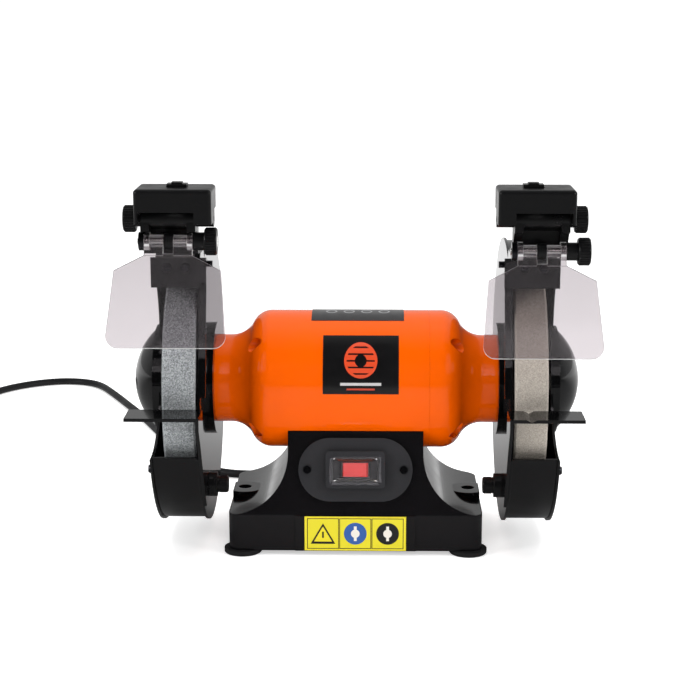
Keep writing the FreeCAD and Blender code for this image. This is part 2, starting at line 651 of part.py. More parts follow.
# ---- switch and labels --------------------------------------------------------------------
def make_switch():
    width, height = SWITCH_PLATE_SIZE
    plate = rounded_bar(width, height, SWITCH_PLATE_THICKNESS, height / 2 - 0.1)
    bezel = rounded_bar(BEZEL_SIZE[0], BEZEL_SIZE[1], SWITCH_PLATE_THICKNESS + BEZEL_DEPTH, 3.0)
    body_w, body_h = SWITCH_BODY_SIZE
    well = rounded_bar(body_w + 2 * MOVING_GAP, body_h + 2 * MOVING_GAP, 30, 1.0)
    well.translate(V(0, 10, 0))
    plate = plate.fuse(bezel).removeSplitter().cut(well)
    screws = []
    for side in (LEFT, RIGHT):
        x = side * SWITCH_SCREW_SPACING / 2
        plate = plate.cut(rod_y(-SWITCH_PLATE_THICKNESS - 1, 1, 1.5 + SCREW_CLEARANCE, x, 0))
        head = rod_y(-SWITCH_PLATE_THICKNESS - 1.6, -SWITCH_PLATE_THICKNESS, SWITCH_SCREW_HEAD, x, 0)
        shank = rod_y(-SWITCH_PLATE_THICKNESS, 7, 1.5, x, 0)
        screws.append(head.fuse(shank).removeSplitter())
    face = -SWITCH_PLATE_THICKNESS - 1.0
    body = rounded_bar(body_w, body_h, SWITCH_BODY_DEPTH - face, 1.0)
    body.translate(V(0, SWITCH_BODY_DEPTH, 0))
    rock_w, rock_h = ROCKER_SIZE
    pocket = box(-rock_w / 2 - 1, rock_w / 2 + 1, face - 1, face + 9, -rock_h / 2 - MOVING_GAP,
                 rock_h / 2 + MOVING_GAP)
    body = body.cut(pocket)
    rocker_axis_y = face + 3.0
    rocker = rod_z(-rock_h / 2, rock_h / 2, rock_w / 2, 0, rocker_axis_y)
    rocker = rocker.common(box(-rock_w / 2, rock_w / 2, face - 2.0, rocker_axis_y + 2.5, -20, 20))
    rocker.rotate(V(0, rocker_axis_y, 0), Z_AXIS, -ROCKER_TILT)
    boot_depth = 4.5
    boot_base = -SWITCH_PLATE_THICKNESS - BEZEL_DEPTH
    shell = frustum_y(boot_base, boot_base - boot_depth, (body_w, body_h), (rock_w + 4, rock_h + 3))
    hollow = frustum_y(boot_base + 0.01, boot_base - boot_depth + 1.0, (body_w - 2, body_h - 2),
                       (rock_w + 2, rock_h + 1))
    rim = rounded_bar(body_w + 4, body_h + 4, 0.8, 2.0)
    rim.translate(V(0, boot_base, 0))
    rim = rim.cut(rounded_bar(body_w - 2, body_h - 2, 60, 1.0).translate(V(0, 20, 0)))
    boot = shell.fuse(rim).cut(hollow).removeSplitter()
    parts = {"switch_plate": [plate], "switch_plate_screws": screws, "switch_body": [body],
             "rocker": [rocker], "switch_boot": [boot]}
    return {name: [to_switch_face(s) for s in solids] for name, solids in parts.items()}


def frustum_y(y0, y1, size0, size1):
    """Four-sided frustum along Y, from a width and height to another."""
    wires = []
    for y, (width, height) in ((y0, size0), (y1, size1)):
        corners = [V(sx * width / 2, y, sz * height / 2) for sx, sz in ((-1, -1), (1, -1), (1, 1), (-1, 1))]
        wires.append(Part.makePolygon(corners + corners[:1]))
    return Part.makeLoft(wires, True, True)


def barrel_label(x0, x1, start, end):
    """Thin sheet wrapped on the barrel, between two angles above the front horizontal."""
    band = ring_x(x0, x1, BARREL_RADIUS + LABEL_THICKNESS, BARREL_RADIUS)
    far = 3 * BARREL_RADIUS
    steps = [start, (start + end) / 2, end]
    sector = [(0.0, AXIS_HEIGHT)] + [polar(far, a) for a in steps]
    return band.common(plate_yz(sector, x0 - 1, x1 + 1))


def make_hazard_label():
    width, height = HAZARD_LABEL_SIZE
    middle = FOOT_HEIGHT + (PLINTH_TOP - FOOT_HEIGHT) / 2
    face = -BASE_HALF_DEPTH - PANEL_RAISE
    return box(-width / 2, width / 2, face - LABEL_THICKNESS, face, middle - height / 2,
            middle + height / 2)


def make_capacitor():
    radius, half_length = 14.0, 28.0
    can = rod_x(-half_length, half_length, radius, 22.0, FOOT_HEIGHT + COVER_SHEET + radius + 1.5)
    rims = [e for e in can.Edges if e.Length > 2 * math.pi * radius - 1e-3]
    return can.makeFillet(1.5, rims)


def make_terminal_block():
    floor = FOOT_HEIGHT + COVER_SHEET
    block = box(-44, -12, -22, -8, floor, floor + 13)
    for i in range(3):
        x = -38.0 + 10.0 * i
        block = block.cut(rod_y(-30, 0, 2.2, x, floor + 6))
    return block


# ---- wheel guards -------------------------------------------------------------------------
def guard_sector(radius, x0, x1):
    """Pie from the low lip round the bottom and the back to the high lip."""
    turn = 360.0 - (GUARD_LIP_HIGH - GUARD_LIP_LOW)
    far = 3 * radius
    points = [(0.0, AXIS_HEIGHT)]
    steps = 6
    for i in range(steps + 1):
        points.append(polar(far, GUARD_LIP_LOW - turn * i / steps))
    return plate_yz(points, x0, x1)


def make_inner_guard():
    """Right guard: motor-side plate with its boss, wheel band, deflector tab and bracket ear."""
    inner_x = GUARD_INNER_PLANE
    outer_x = GUARD_OUTER_PLANE - GUARD_SHEET
    disc = rod_x(inner_x, inner_x + GUARD_SHEET, GUARD_RADIUS + GUARD_RIM)
    low = polar(GUARD_RADIUS + GUARD_RIM, GUARD_LIP_LOW)
    high = polar(GUARD_RADIUS + GUARD_RIM, GUARD_LIP_HIGH)
    far = 3 * GUARD_RADIUS
    ahead = [low, (-far, low[1]), (-far, high[1]), high]
    plate = disc.cut(plate_yz(ahead, inner_x - 1, inner_x + GUARD_SHEET + 1))
    band = ring_x(inner_x, outer_x, GUARD_RADIUS, GUARD_RADIUS - GUARD_SHEET)
    band = band.common(guard_sector(GUARD_RADIUS, inner_x, outer_x))
    boss = rod_x(NECK_END, inner_x + GUARD_SHEET, GUARD_BOSS_RADIUS)
    hollow = rod_x(NECK_END + GUARD_SHEET, inner_x + GUARD_SHEET + 1, GUARD_BOSS_RADIUS - GUARD_SHEET)
    tab_back = DEFLECTOR_Y - GUARD_SHEET
    tab_low = AXIS_HEIGHT + 91.5
    tab_high = AXIS_HEIGHT + DEFLECTOR_SCREW_Z + 3.5
    tab = box(inner_x, outer_x, -DEFLECTOR_Y, -tab_back, tab_low, tab_high)
    shelf = box(inner_x, outer_x, -DEFLECTOR_Y, -60, tab_low, tab_low + GUARD_SHEET)
    ear_top = AXIS_HEIGHT + BRACKET_BOLT_Z + 9
    ear = plate_yz([(-DEFLECTOR_Y, tab_low), (-DEFLECTOR_Y, tab_high), (-DEFLECTOR_Y + 8, ear_top),
                    (-48, ear_top), (-40, AXIS_HEIGHT + 98), (-50, AXIS_HEIGHT + 80)],
                   inner_x, inner_x + GUARD_SHEET)
    flange_low = (low[0] + (high[0] - low[0]) * 0.34, low[1] + (high[1] - low[1]) * 0.34)
    slant = [flange_low, high, (high[0] + GUARD_SHEET, high[1]), (flange_low[0] + GUARD_SHEET,
            flange_low[1])]
    flange = plate_yz(slant, inner_x - GUARD_EDGE_FLANGE, inner_x + 1)
    guard = plate.fuse([band, boss, tab, shelf, ear, flange]).cut(hollow)
    stud = rod_x(inner_x - 1 - REST_COLLAR_LENGTH - 4, inner_x + GUARD_SHEET, REST_STUD_RADIUS,
                 -REST_BOLT_Y, AXIS_HEIGHT + REST_BOLT_Z)
    guard = guard.fuse(stud).removeSplitter()
    guard = guard.cut(rod_x(NECK_END - 1, inner_x, SHAFT_DIAMETER / 2 + 2))
    for y, z in guard_screw_places():
        guard = guard.cut(rod_x(NECK_END - 1, inner_x, BOLT_SHANK + SCREW_CLEARANCE, y, z))
    for x in deflector_screw_xs():
        hole = rod_y(-DEFLECTOR_Y - 1, -tab_back + 1, DEFLECTOR_SCREW_SHANK, x,
                AXIS_HEIGHT + DEFLECTOR_SCREW_Z)
        guard = guard.cut(hole)
    bolt = rod_x(inner_x - 1, inner_x + GUARD_SHEET + 1, PIVOT_ROD_RADIUS + SCREW_CLEARANCE,
                 -BRACKET_BOLT_Y, AXIS_HEIGHT + BRACKET_BOLT_Z)
    guard = guard.cut(bolt)
    for y, z in cover_screw_places():
        post = rod_x(inner_x + GUARD_SHEET, outer_x, 4.0, y, z)
        guard = guard.fuse(post.common(guard_room()))
    guard = guard.removeSplitter()
    for y, z in cover_screw_places():
        guard = guard.cut(rod_x(outer_x - 12, outer_x + 1, 1.8, y, z))
    return guard


def guard_room():
    """The space between the wheel and the outside of the band."""
    return ring_x(GUARD_INNER_PLANE, GUARD_OUTER_PLANE, GUARD_RADIUS + GUARD_RIM, WHEEL_RADIUS + 1.5)


def cover_screw_places():
    """(y, z) of the screws round the rim of the outer cover."""
    return [polar(WHEEL_RADIUS + 6.5, a) for a in (GUARD_LIP_LOW - 8, -90, -180, -250)]


def deflector_screw_xs():
    middle = WHEEL_INNER_FACE + WHEEL_WIDTH / 2 + 1.5
    return [middle - DEFLECTOR_SCREW_SPACING / 2, middle + DEFLECTOR_SCREW_SPACING / 2]


def make_outer_cover():
    """Right cover: plate cut back to a waist at the front, and the dome over the nut."""
    near = GUARD_OUTER_PLANE - GUARD_SHEET
    far = GUARD_OUTER_PLANE
    plate = rod_x(near, far, GUARD_RADIUS + GUARD_RIM)
    low = polar(GUARD_RADIUS + GUARD_RIM, GUARD_LIP_LOW)
    high = polar(GUARD_RADIUS + GUARD_RIM, GUARD_LIP_HIGH + 6)
    waist_low = V(near - 1, -COVER_WAIST_Y, AXIS_HEIGHT - 12)
    waist_high = V(near - 1, -COVER_WAIST_Y + 14, AXIS_HEIGHT + 32)
    corner_low = V(near - 1, low[0], low[1])
    corner_high = V(near - 1, high[0], high[1])
    hollow_low = V(near - 1, (low[0] - COVER_WAIST_Y) / 2 + 9, AXIS_HEIGHT - 31)
    hollow_high = V(near - 1, (high[0] - COVER_WAIST_Y + 14) / 2 + 12, AXIS_HEIGHT + 66)
    out = 3 * GUARD_RADIUS
    edges = [
        Part.Arc(corner_low, hollow_low, waist_low).toShape(),
        Part.LineSegment(waist_low, waist_high).toShape(),
        Part.Arc(waist_high, hollow_high, corner_high).toShape(),
        Part.LineSegment(corner_high, V(near - 1, -out, corner_high.z)).toShape(),
        Part.LineSegment(V(near - 1, -out, corner_high.z), V(near - 1, -out, corner_low.z)).toShape(),
        Part.LineSegment(V(near - 1, -out, corner_low.z), corner_low).toShape(),
    ]
    mouth = Part.Face(Part.Wire(edges)).extrude(V(GUARD_SHEET + 2, 0, 0))
    plate = plate.cut(mouth)
    ring_end = far + DOME_RING
    ring = rod_x(near, ring_end, DOME_RADIUS)
    cap_height = DOME_TIP - ring_end
    cap_base = DOME_RADIUS - 2.5
    sphere_radius = (cap_base ** 2 + cap_height ** 2) / (2 * cap_height)
    centre = V(DOME_TIP - sphere_radius, 0, AXIS_HEIGHT)
    beyond = box(ring_end, DOME_TIP + 5, -60, 60, AXIS_HEIGHT - 60, AXIS_HEIGHT + 60)
    cap = Part.makeSphere(sphere_radius, centre).common(beyond)
    cap_hollow = Part.makeSphere(sphere_radius - GUARD_SHEET, centre).common(beyond)
    ring_hollow = rod_x(near - 1, ring_end, DOME_RADIUS - GUARD_SHEET - 2.5)
    cover = plate.fuse([ring, cap]).removeSplitter().cut(cap_hollow).cut(ring_hollow)
    for y, z in cover_screw_places():
        cover = cover.cut(rod_x(near - 1, far + 1, 1.8 + SCREW_CLEARANCE, y, z))
    return cover


def make_cover_screws():
    screws = []
    for y, z in cover_screw_places():
        shank = rod_x(GUARD_OUTER_PLANE - 12, GUARD_OUTER_PLANE, 1.8, y, z)
        head = rod_x(GUARD_OUTER_PLANE, GUARD_OUTER_PLANE + 2.6, COVER_SCREW_RADIUS, y, z)
        rims = [e for e in head.Edges if abs(e.Length - 2 * math.pi * COVER_SCREW_RADIUS) < 1e-3
                and e.CenterOfMass.x > GUARD_OUTER_PLANE + 1]
        screws.append(head.makeFillet(1.2, rims).fuse(shank).removeSplitter())
    return screws


def make_guard_screws():
    screws = []
    for y, z in guard_screw_places():
        shank = rod_x(NECK_END - 9, NECK_END + GUARD_SHEET, BOLT_SHANK, y, z)
        head = rod_x(NECK_END + GUARD_SHEET, NECK_END + GUARD_SHEET + 2.2, 4.0, y, z)
        screws.append(head.fuse(shank).removeSplitter().cut(
            rod_x(INNER_FLANGE_FACE - FLANGE_GAP, INNER_FLANGE_FACE + 5, FLANGE_DIAMETER / 2 + 1)))
    return screws


# ---- spark deflector ------------------------------------------------------------------------
def make_deflector():
    middle = (GUARD_INNER_PLANE + GUARD_OUTER_PLANE) / 2 - 3.0
    low = AXIS_HEIGHT + DEFLECTOR_BOTTOM
    plate = box(middle - DEFLECTOR_WIDTH / 2, middle + DEFLECTOR_WIDTH / 2,
                -DEFLECTOR_Y - DEFLECTOR_THICKNESS, -DEFLECTOR_Y, low, low + DEFLECTOR_HEIGHT)
    slot_radius = DEFLECTOR_SCREW_SHANK + SCREW_CLEARANCE
    z = AXIS_HEIGHT + DEFLECTOR_SCREW_Z
    for x in deflector_screw_xs():
        ends = [z - DEFLECTOR_TRAVEL_UP - SCREW_CLEARANCE, z + DEFLECTOR_TRAVEL_DOWN + SCREW_CLEARANCE]
        slot = box(x - slot_radius, x + slot_radius, -DEFLECTOR_Y - 5, -DEFLECTOR_Y + 1, *ends)
        rounds = [rod_y(-DEFLECTOR_Y - 5, -DEFLECTOR_Y + 1, slot_radius, x, end) for end in ends]
        plate = plate.cut(slot.fuse(rounds))
    return plate


def make_deflector_screws():
    screws = []
    z = AXIS_HEIGHT + DEFLECTOR_SCREW_Z
    front = -DEFLECTOR_Y - DEFLECTOR_THICKNESS - RUNNING_CLEARANCE
    for x in deflector_screw_xs():
        head = rod_y(front - 2.4, front, DEFLECTOR_SCREW_HEAD, x, z)
        cross = box(x - 0.5, x + 0.5, front - 3, front - 1.4, z - 2.4, z + 2.4)
        cross = cross.fuse(box(x - 2.4, x + 2.4, front - 3, front - 1.4, z - 0.5, z + 0.5))
        shank = rod_y(front, -DEFLECTOR_Y + 8, DEFLECTOR_SCREW_SHANK, x, z)
        screws.append(head.cut(cross).fuse(shank).removeSplitter())
    return screws


# ---- lamp bracket -----------------------------------------------------------------------------
def make_bracket(name):
    """Right-hand bracket: hinge block for the lamp, lug for the shield's pivot, cheek to the guard."""
    pivot_z = AXIS_HEIGHT + PIVOT_Z[name]
    lamp_z = AXIS_HEIGHT + LAMP_AXIS_Z
    low_x = BRACKET_X - BRACKET_WIDTH / 2
    high_x = BRACKET_X + BRACKET_WIDTH / 2
    barrel = rod_x(low_x, high_x, BRACKET_TOP_RADIUS, -PIVOT_Y, lamp_z)
    web_low = AXIS_HEIGHT + DEFLECTOR_SCREW_Z + 10
    web_back = -DEFLECTOR_Y + 8.0
    web = plate_yz([(-DEFLECTOR_Y + 1.0, web_low), (-DEFLECTOR_Y + 1.0, AXIS_HEIGHT + 132),
                    (-PIVOT_Y - 3, lamp_z - 4), (-PIVOT_Y + BRACKET_TOP_RADIUS, lamp_z),
                    (web_back, AXIS_HEIGHT + 134), (web_back, web_low)], low_x, high_x)
    ears = []
    for side in (LEFT, RIGHT):
        edge = BRACKET_X + side * BRACKET_WIDTH / 2
        inner = edge - side * 6.5
        ears.append(plate_yz([(-DEFLECTOR_Y, AXIS_HEIGHT + 121), (-PIVOT_Y + 1, AXIS_HEIGHT + 126 + 5),
                              (-PIVOT_Y - 6, AXIS_HEIGHT + 133),
                                      (-PIVOT_Y - BRACKET_TOP_RADIUS + 0.5, lamp_z),
                              (-PIVOT_Y + BRACKET_TOP_RADIUS, lamp_z), (web_back, lamp_z - 9),
                              (web_back, AXIS_HEIGHT + 121)], edge, inner))
    lug_length = SHIELD_BARREL_RADIUS + 1.0
    lug = rod_x(BRACKET_X - LUG_WIDTH / 2, BRACKET_X + LUG_WIDTH / 2, lug_length, -PIVOT_Y, pivot_z)
    stalk = box(BRACKET_X - LUG_WIDTH / 2, BRACKET_X + LUG_WIDTH / 2, -PIVOT_Y, web_back,
                pivot_z - 3.5, pivot_z + 3.5)
    cheek_x = GUARD_INNER_PLANE + GUARD_SHEET
    cheek = plate_yz([(web_back, web_low), (web_back, web_low + 10), (-54,
            AXIS_HEIGHT + BRACKET_BOLT_Z + 4),
                      (-54, AXIS_HEIGHT + BRACKET_BOLT_Z - 4), (web_back,
                              AXIS_HEIGHT + BRACKET_BOLT_Z - 4)],
                     cheek_x, cheek_x + BRACKET_CHEEK)
    shift = box(low_x, cheek_x + BRACKET_CHEEK, -DEFLECTOR_Y + 1.0, web_back, AXIS_HEIGHT + 118,
            AXIS_HEIGHT + 126)
    bracket = fuse(web, barrel, lug, stalk, cheek, shift, *ears)
    bracket = bracket.cut(rod_x(low_x - 5, high_x + 5, PIVOT_ROD_RADIUS + RUNNING_CLEARANCE,
            -PIVOT_Y, pivot_z))
    bracket = bracket.cut(rod_x(low_x - 5, high_x + 5, LAMP_BOLT_RADIUS + RUNNING_CLEARANCE,
            -PIVOT_Y, lamp_z))
    bracket = bracket.cut(rod_x(cheek_x - 1, cheek_x + BRACKET_CHEEK + 1,
            PIVOT_ROD_RADIUS + SCREW_CLEARANCE,
                                -BRACKET_BOLT_Y, AXIS_HEIGHT + BRACKET_BOLT_Z))
    for side in (LEFT, RIGHT):
        room = rod_x(BRACKET_X + side * LUG_WIDTH / 2, BRACKET_X + side * (BRACKET_WIDTH / 2 + 1),
                     PIVOT_NUT_RADIUS + FLANGE_GAP, -PIVOT_Y, pivot_z)
        bracket = bracket.cut(room)
    return bracket


def make_bracket_bolt():
    z = AXIS_HEIGHT + BRACKET_BOLT_Z
    head = rod_x(GUARD_INNER_PLANE - 4, GUARD_INNER_PLANE, 4.5, -BRACKET_BOLT_Y, z)
    tip = rod_x(GUARD_INNER_PLANE - 8.5, GUARD_INNER_PLANE + GUARD_SHEET + BRACKET_CHEEK, PIVOT_ROD_RADIUS,
                -BRACKET_BOLT_Y, z)
    nut = rod_x(GUARD_INNER_PLANE + GUARD_SHEET + BRACKET_CHEEK,
                GUARD_INNER_PLANE + GUARD_SHEET + BRACKET_CHEEK + 3, 4.0, -BRACKET_BOLT_Y, z)
    return fuse(head, tip, nut)


# ---- eye shield ---------------------------------------------------------------------------------
def shield_middle(side):
    return side * BRACKET_X


def make_shield(name, side):
    """Clear sheet with two barrel halves and end ears, drawn hanging and then swung out."""
    middle = shield_middle(side)
    pivot_z = AXIS_HEIGHT + PIVOT_Z[name]
    neck = SHIELD_NECK_WIDTH / 2
    shoulder = SHIELD_SHOULDER_WIDTH / 2
    bottom = SHIELD_BOTTOM_WIDTH / 2
    outline = [(-neck, pivot_z - SHIELD_NECK_DROP), (neck, pivot_z - SHIELD_NECK_DROP),
               (shoulder, pivot_z - SHIELD_SHOULDER_DROP), (bottom, pivot_z - SHIELD_LENGTH),
               (-bottom, pivot_z - SHIELD_LENGTH), (-shoulder, pivot_z - SHIELD_SHOULDER_DROP)]
    front = -PIVOT_Y - SHIELD_BARREL_RADIUS
    sheet = plate_xz([(middle + x, z) for x, z in outline], front, front + SHIELD_SHEET)
    corners = [e for e in sheet.Edges if abs(e.Vertexes[0].Y - e.Vertexes[1].Y) > 1
               and e.Vertexes[0].Z < pivot_z - SHIELD_LENGTH + 1]
    sheet = sheet.makeFillet(SHIELD_CORNER, corners)
    pieces = []
    ear = 4.0
    half = SHIELD_BARREL_LENGTH / 2
    gap = LUG_WIDTH / 2 + MOVING_GAP
    for way in (LEFT, RIGHT):
        pieces.append(rod_x(middle + way * gap, middle + way * half, SHIELD_BARREL_RADIUS,
                -PIVOT_Y, pivot_z))
        pieces.append(box(middle + way * (half - ear), middle + way * half, front, front + SHIELD_SHEET,
                          pivot_z - SHIELD_NECK_DROP - 2, pivot_z))
        pieces.append(box(middle + way * gap, middle + way * half, front, front + SHIELD_SHEET + 1.5,
                          pivot_z - SHIELD_NECK_DROP - 1, pivot_z))
    shield = fuse(sheet, *pieces)
    bore = rod_x(middle - half - 1, middle + half + 1, PIVOT_ROD_RADIUS + RUNNING_CLEARANCE,
            -PIVOT_Y, pivot_z)
    shield = shield.cut(bore)
    shield.rotate(V(0, -PIVOT_Y, pivot_z), X_AXIS, -SHIELD_TILT)
    return shield


def make_shield_knob(name, side):
    """Knob on the +X side with its stem and the rod that runs through the pivot."""
    middle = shield_middle(side)
    z = AXIS_HEIGHT + PIVOT_Z[name]
    start = middle + SHIELD_BARREL_LENGTH / 2 + MOVING_GAP
    stem = rod_x(start, start + SHIELD_STEM_LENGTH, SHIELD_STEM_RADIUS, -PIVOT_Y, z)
    head = rod_x(start + SHIELD_STEM_LENGTH, start + SHIELD_STEM_LENGTH + SHIELD_KNOB_LENGTH,
                 SHIELD_KNOB_RADIUS, -PIVOT_Y, z)
    rims = [e for e in head.Edges if e.Length > 2 * math.pi * SHIELD_KNOB_RADIUS - 1e-3]
    rod = rod_x(middle - SHIELD_BARREL_LENGTH / 2 - MOVING_GAP - PIVOT_NUT_LENGTH - 1, start,
                PIVOT_ROD_RADIUS, -PIVOT_Y, z)
    return fuse(head.makeFillet(1.2, rims), stem, rod)


def make_pivot_nut(name, side):
    middle = shield_middle(side)
    z = AXIS_HEIGHT + PIVOT_Z[name]
    start = middle - SHIELD_BARREL_LENGTH / 2 - MOVING_GAP
    return ring_x(start - PIVOT_NUT_LENGTH, start, PIVOT_NUT_RADIUS, PIVOT_ROD_RADIUS + RUNNING_CLEARANCE,
                  -PIVOT_Y, z)


# ---- lamp -----------------------------------------------------------------------------------------
def make_lamp_housing():
    """Right lamp: box with a front skirt and two round feet that straddle the hinge block."""
    low_x = LAMP_X - LAMP_WIDTH / 2
    high_x = LAMP_X + LAMP_WIDTH / 2
    front = -LAMP_FRONT_Y
    back = front + LAMP_DEPTH
    lamp_z = AXIS_HEIGHT + LAMP_AXIS_Z
    body_low = lamp_z + BRACKET_TOP_RADIUS + 1.0
    body = box(low_x, high_x, front, back, lamp_z - LAMP_SKIRT_DROP, AXIS_HEIGHT + LAMP_TOP_Z)
    body = body.makeFillet(LAMP_CORNER, [e for e in body.Edges if e.CenterOfMass.z > body_low + 1])
    block_low = BRACKET_X - BRACKET_WIDTH / 2 - MOVING_GAP
    block_high = BRACKET_X + BRACKET_WIDTH / 2 + MOVING_GAP
    body = body.cut(box(block_low, block_high, front - 1, back + 1, 0, body_low))
    body = body.cut(box(low_x - 1, high_x + 1, -PIVOT_Y + BRACKET_TOP_RADIUS, back + 1, 0, body_low))
    for x0, x1 in ((low_x, block_low), (block_high, high_x)):
        body = body.fuse(rod_x(x0, x1, BRACKET_TOP_RADIUS, -PIVOT_Y, lamp_z))
    cavity = box(low_x + LAMP_WALL, high_x - LAMP_WALL, front + LAMP_WALL, back - LAMP_WALL,
                 body_low + LAMP_WALL, AXIS_HEIGHT + LAMP_TOP_Z - LAMP_WALL)
    body = body.cut(cavity)
    body = body.cut(rod_x(low_x - 5, high_x + 5, LAMP_BOLT_RADIUS + RUNNING_CLEARANCE, -PIVOT_Y, lamp_z))
    lens_y = front + LAMP_LENS_RADIUS + 4
    body = body.cut(rod_z(0, body_low + LAMP_WALL + 1, LAMP_LENS_RADIUS, LAMP_X, lens_y))
    width = LAMP_SWITCH_SIZE[0]
    slot = box(LAMP_X - width / 2 + 3 - LAMP_SWITCH_TRAVEL, LAMP_X + width / 2 - 3 + LAMP_SWITCH_TRAVEL,
               lamp_switch_y() - 2.5, lamp_switch_y() + 2.5, AXIS_HEIGHT + LAMP_TOP_Z - LAMP_WALL - 1,
               AXIS_HEIGHT + LAMP_TOP_Z + 1)
    return body.cut(slot)


def lamp_switch_y():
    return -LAMP_FRONT_Y + LAMP_DEPTH / 2


def make_lamp_lens():
    lens_y = -LAMP_FRONT_Y + LAMP_LENS_RADIUS + 4
    low = AXIS_HEIGHT + LAMP_AXIS_Z + BRACKET_TOP_RADIUS + 1.0
    return rod_z(low - 0.5, low + LAMP_WALL, LAMP_LENS_RADIUS, LAMP_X, lens_y)


def make_lamp_switch():
    """Slide switch on top of the lamp, at the end of its travel: pad, thumb ridge and stem."""
    width, depth = LAMP_SWITCH_SIZE
    middle = LAMP_X - LAMP_SWITCH_TRAVEL
    top = AXIS_HEIGHT + LAMP_TOP_Z + RUNNING_CLEARANCE
    y = lamp_switch_y()
    pad = box(middle - width / 2, middle + width / 2, y - depth / 2, y + depth / 2, top, top + 2.4)
    ridge = box(middle - 4, middle + 4, y - depth / 2 + 1, y + depth / 2 - 1, top + 2.4, top + 3.6)
    stem = box(middle - width / 2 + 3.5, middle + width / 2 - 3.5, y - 2, y + 2, top - LAMP_WALL, top)
    return fuse(pad, ridge, stem)


def make_lamp_knob():
    z = AXIS_HEIGHT + LAMP_AXIS_Z
    start = LAMP_X + LAMP_WIDTH / 2 + MOVING_GAP
    head = rod_x(start, start + LAMP_KNOB_LENGTH, LAMP_KNOB_RADIUS, -PIVOT_Y, z)
    rims = [e for e in head.Edges if e.Length > 2 * math.pi * LAMP_KNOB_RADIUS - 1e-3]
    bolt = rod_x(LAMP_X - LAMP_WIDTH / 2 + 3, start, LAMP_BOLT_RADIUS, -PIVOT_Y, z)
    return fuse(head.makeFillet(1.2, rims), bolt)


# ---- tool rest --------------------------------------------------------------------------------------
def rest_leg_plane():
    return GUARD_INNER_PLANE - RUNNING_CLEARANCE


def make_tool_rest(grooved):
    """Right rest: table across the wheel and a slotted leg beside the guard."""
    high_x = rest_leg_plane()
    low_x = high_x - REST_SHEET
    top = AXIS_HEIGHT + REST_TOP_Z
    table = box(low_x, REST_OUTER_X, -REST_FRONT_Y, -REST_BACK_Y, top - REST_SHEET, top)
    bolt_z = AXIS_HEIGHT + REST_BOLT_Z
    half = REST_LEG_WIDTH / 2
    tail = -REST_BOLT_Y + REST_TRAVEL_IN + half
    nose = -REST_BOLT_Y - REST_TRAVEL_OUT - half
    leg = plate_yz([(-REST_FRONT_Y, top), (-REST_BACK_Y, top), (-REST_BACK_Y + 4, top - 18),
                    (tail - 12, bolt_z + half), (tail, bolt_z + half - 6), (tail, bolt_z - half + 6),
                    (tail - 6, bolt_z - half), (nose, bolt_z - half), (-REST_FRONT_Y + 12, top - 26),
                    (-REST_FRONT_Y, top - 10)], low_x, high_x)
    rest = fuse(table, leg)
    slot_radius = REST_STUD_RADIUS + SCREW_CLEARANCE
    ends = [-REST_BOLT_Y - REST_TRAVEL_IN, -REST_BOLT_Y + REST_TRAVEL_OUT]
    slot = box(low_x - 1, high_x + 1, ends[0], ends[1], bolt_z - slot_radius, bolt_z + slot_radius)
    rounds = [rod_x(low_x - 1, high_x + 1, slot_radius, end, bolt_z) for end in ends]
    rest = rest.cut(slot.fuse(rounds))
    if grooved:
        vee = plate_xz([(VEE_X - VEE_HALF_WIDTH, top + 0.01), (VEE_X, top - VEE_DEPTH),
                        (VEE_X + VEE_HALF_WIDTH, top + 0.01)], -REST_FRONT_Y - 1, -REST_BACK_Y + 1)
        rest = rest.cut(vee)
    return rest


def make_rest_knob():
    z = AXIS_HEIGHT + REST_BOLT_Z
    start = rest_leg_plane() - REST_SHEET - RUNNING_CLEARANCE
    collar = rod_x(start - REST_COLLAR_LENGTH, start, REST_COLLAR_RADIUS, -REST_BOLT_Y, z)
    head = rod_x(REST_KNOB_END, start - REST_COLLAR_LENGTH, REST_KNOB_RADIUS, -REST_BOLT_Y, z)
    rims = [e for e in head.Edges if e.Length > 2 * math.pi * REST_KNOB_RADIUS - 1e-3
            and e.CenterOfMass.x < REST_KNOB_END + 1]
    knob = fuse(head.makeFillet(1.0, rims), collar)
    return knob.cut(rod_x(REST_KNOB_END + 2, start + 1, REST_STUD_RADIUS + RUNNING_CLEARANCE,
            -REST_BOLT_Y, z))


# ---- mains cord ---------------------------------------------------------------------------------------
def make_strain_relief():
    cone = Part.makeCone(RELIEF_ROOT_RADIUS, RELIEF_TIP_RADIUS, RELIEF_LENGTH,
                         V(CORD_EXIT_X, BASE_HALF_DEPTH, CORD_EXIT_Z), Y_AXIS)
    plug = rod_y(BASE_HALF_DEPTH - BASE_WALL - 3, BASE_HALF_DEPTH, RELIEF_TIP_RADIUS,
            CORD_EXIT_X, CORD_EXIT_Z)
    return fuse(cone, plug)


def cord_tube(points, radius):
    """Tube along straight runs joined by arcs as large as the runs allow."""
    places = [V(*p) for p in points]
    edges = []
    start = places[0]
    for before, corner, after in zip(places, places[1:], places[2:]):
        into = (corner - before).normalize()
        out = (after - corner).normalize()
        turn = into.getAngle(out)
        reach = 0.45 * min((corner - before).Length, (after - corner).Length)
        arc_start = corner - into * reach
        arc_end = corner + out * reach
        bend = reach / math.tan(turn / 2)
        inward = (out - into).normalize()
        middle = corner + inward * (bend / math.cos(turn / 2) - bend)
        edges.append(Part.LineSegment(start, arc_start).toShape())
        edges.append(Part.Arc(arc_start, middle, arc_end).toShape())
        print("cord bend at (%.0f, %.0f): radius %.0f, turn %.0f" % (corner.x, corner.y, bend,
                math.degrees(turn)))
        start = arc_end
    edges.append(Part.LineSegment(start, places[-1]).toShape())
    path = Part.Wire(edges)
    direction = (places[1] - places[0]).normalize()
    circle = Part.Wire(Part.makeCircle(radius, places[0], direction))
    tube = path.makePipeShell([circle], True, False)
    print("cord length %.0f, volume against section times length %.4f"
          % (path.Length, tube.Volume / (math.pi * radius ** 2 * path.Length)))
    return tube


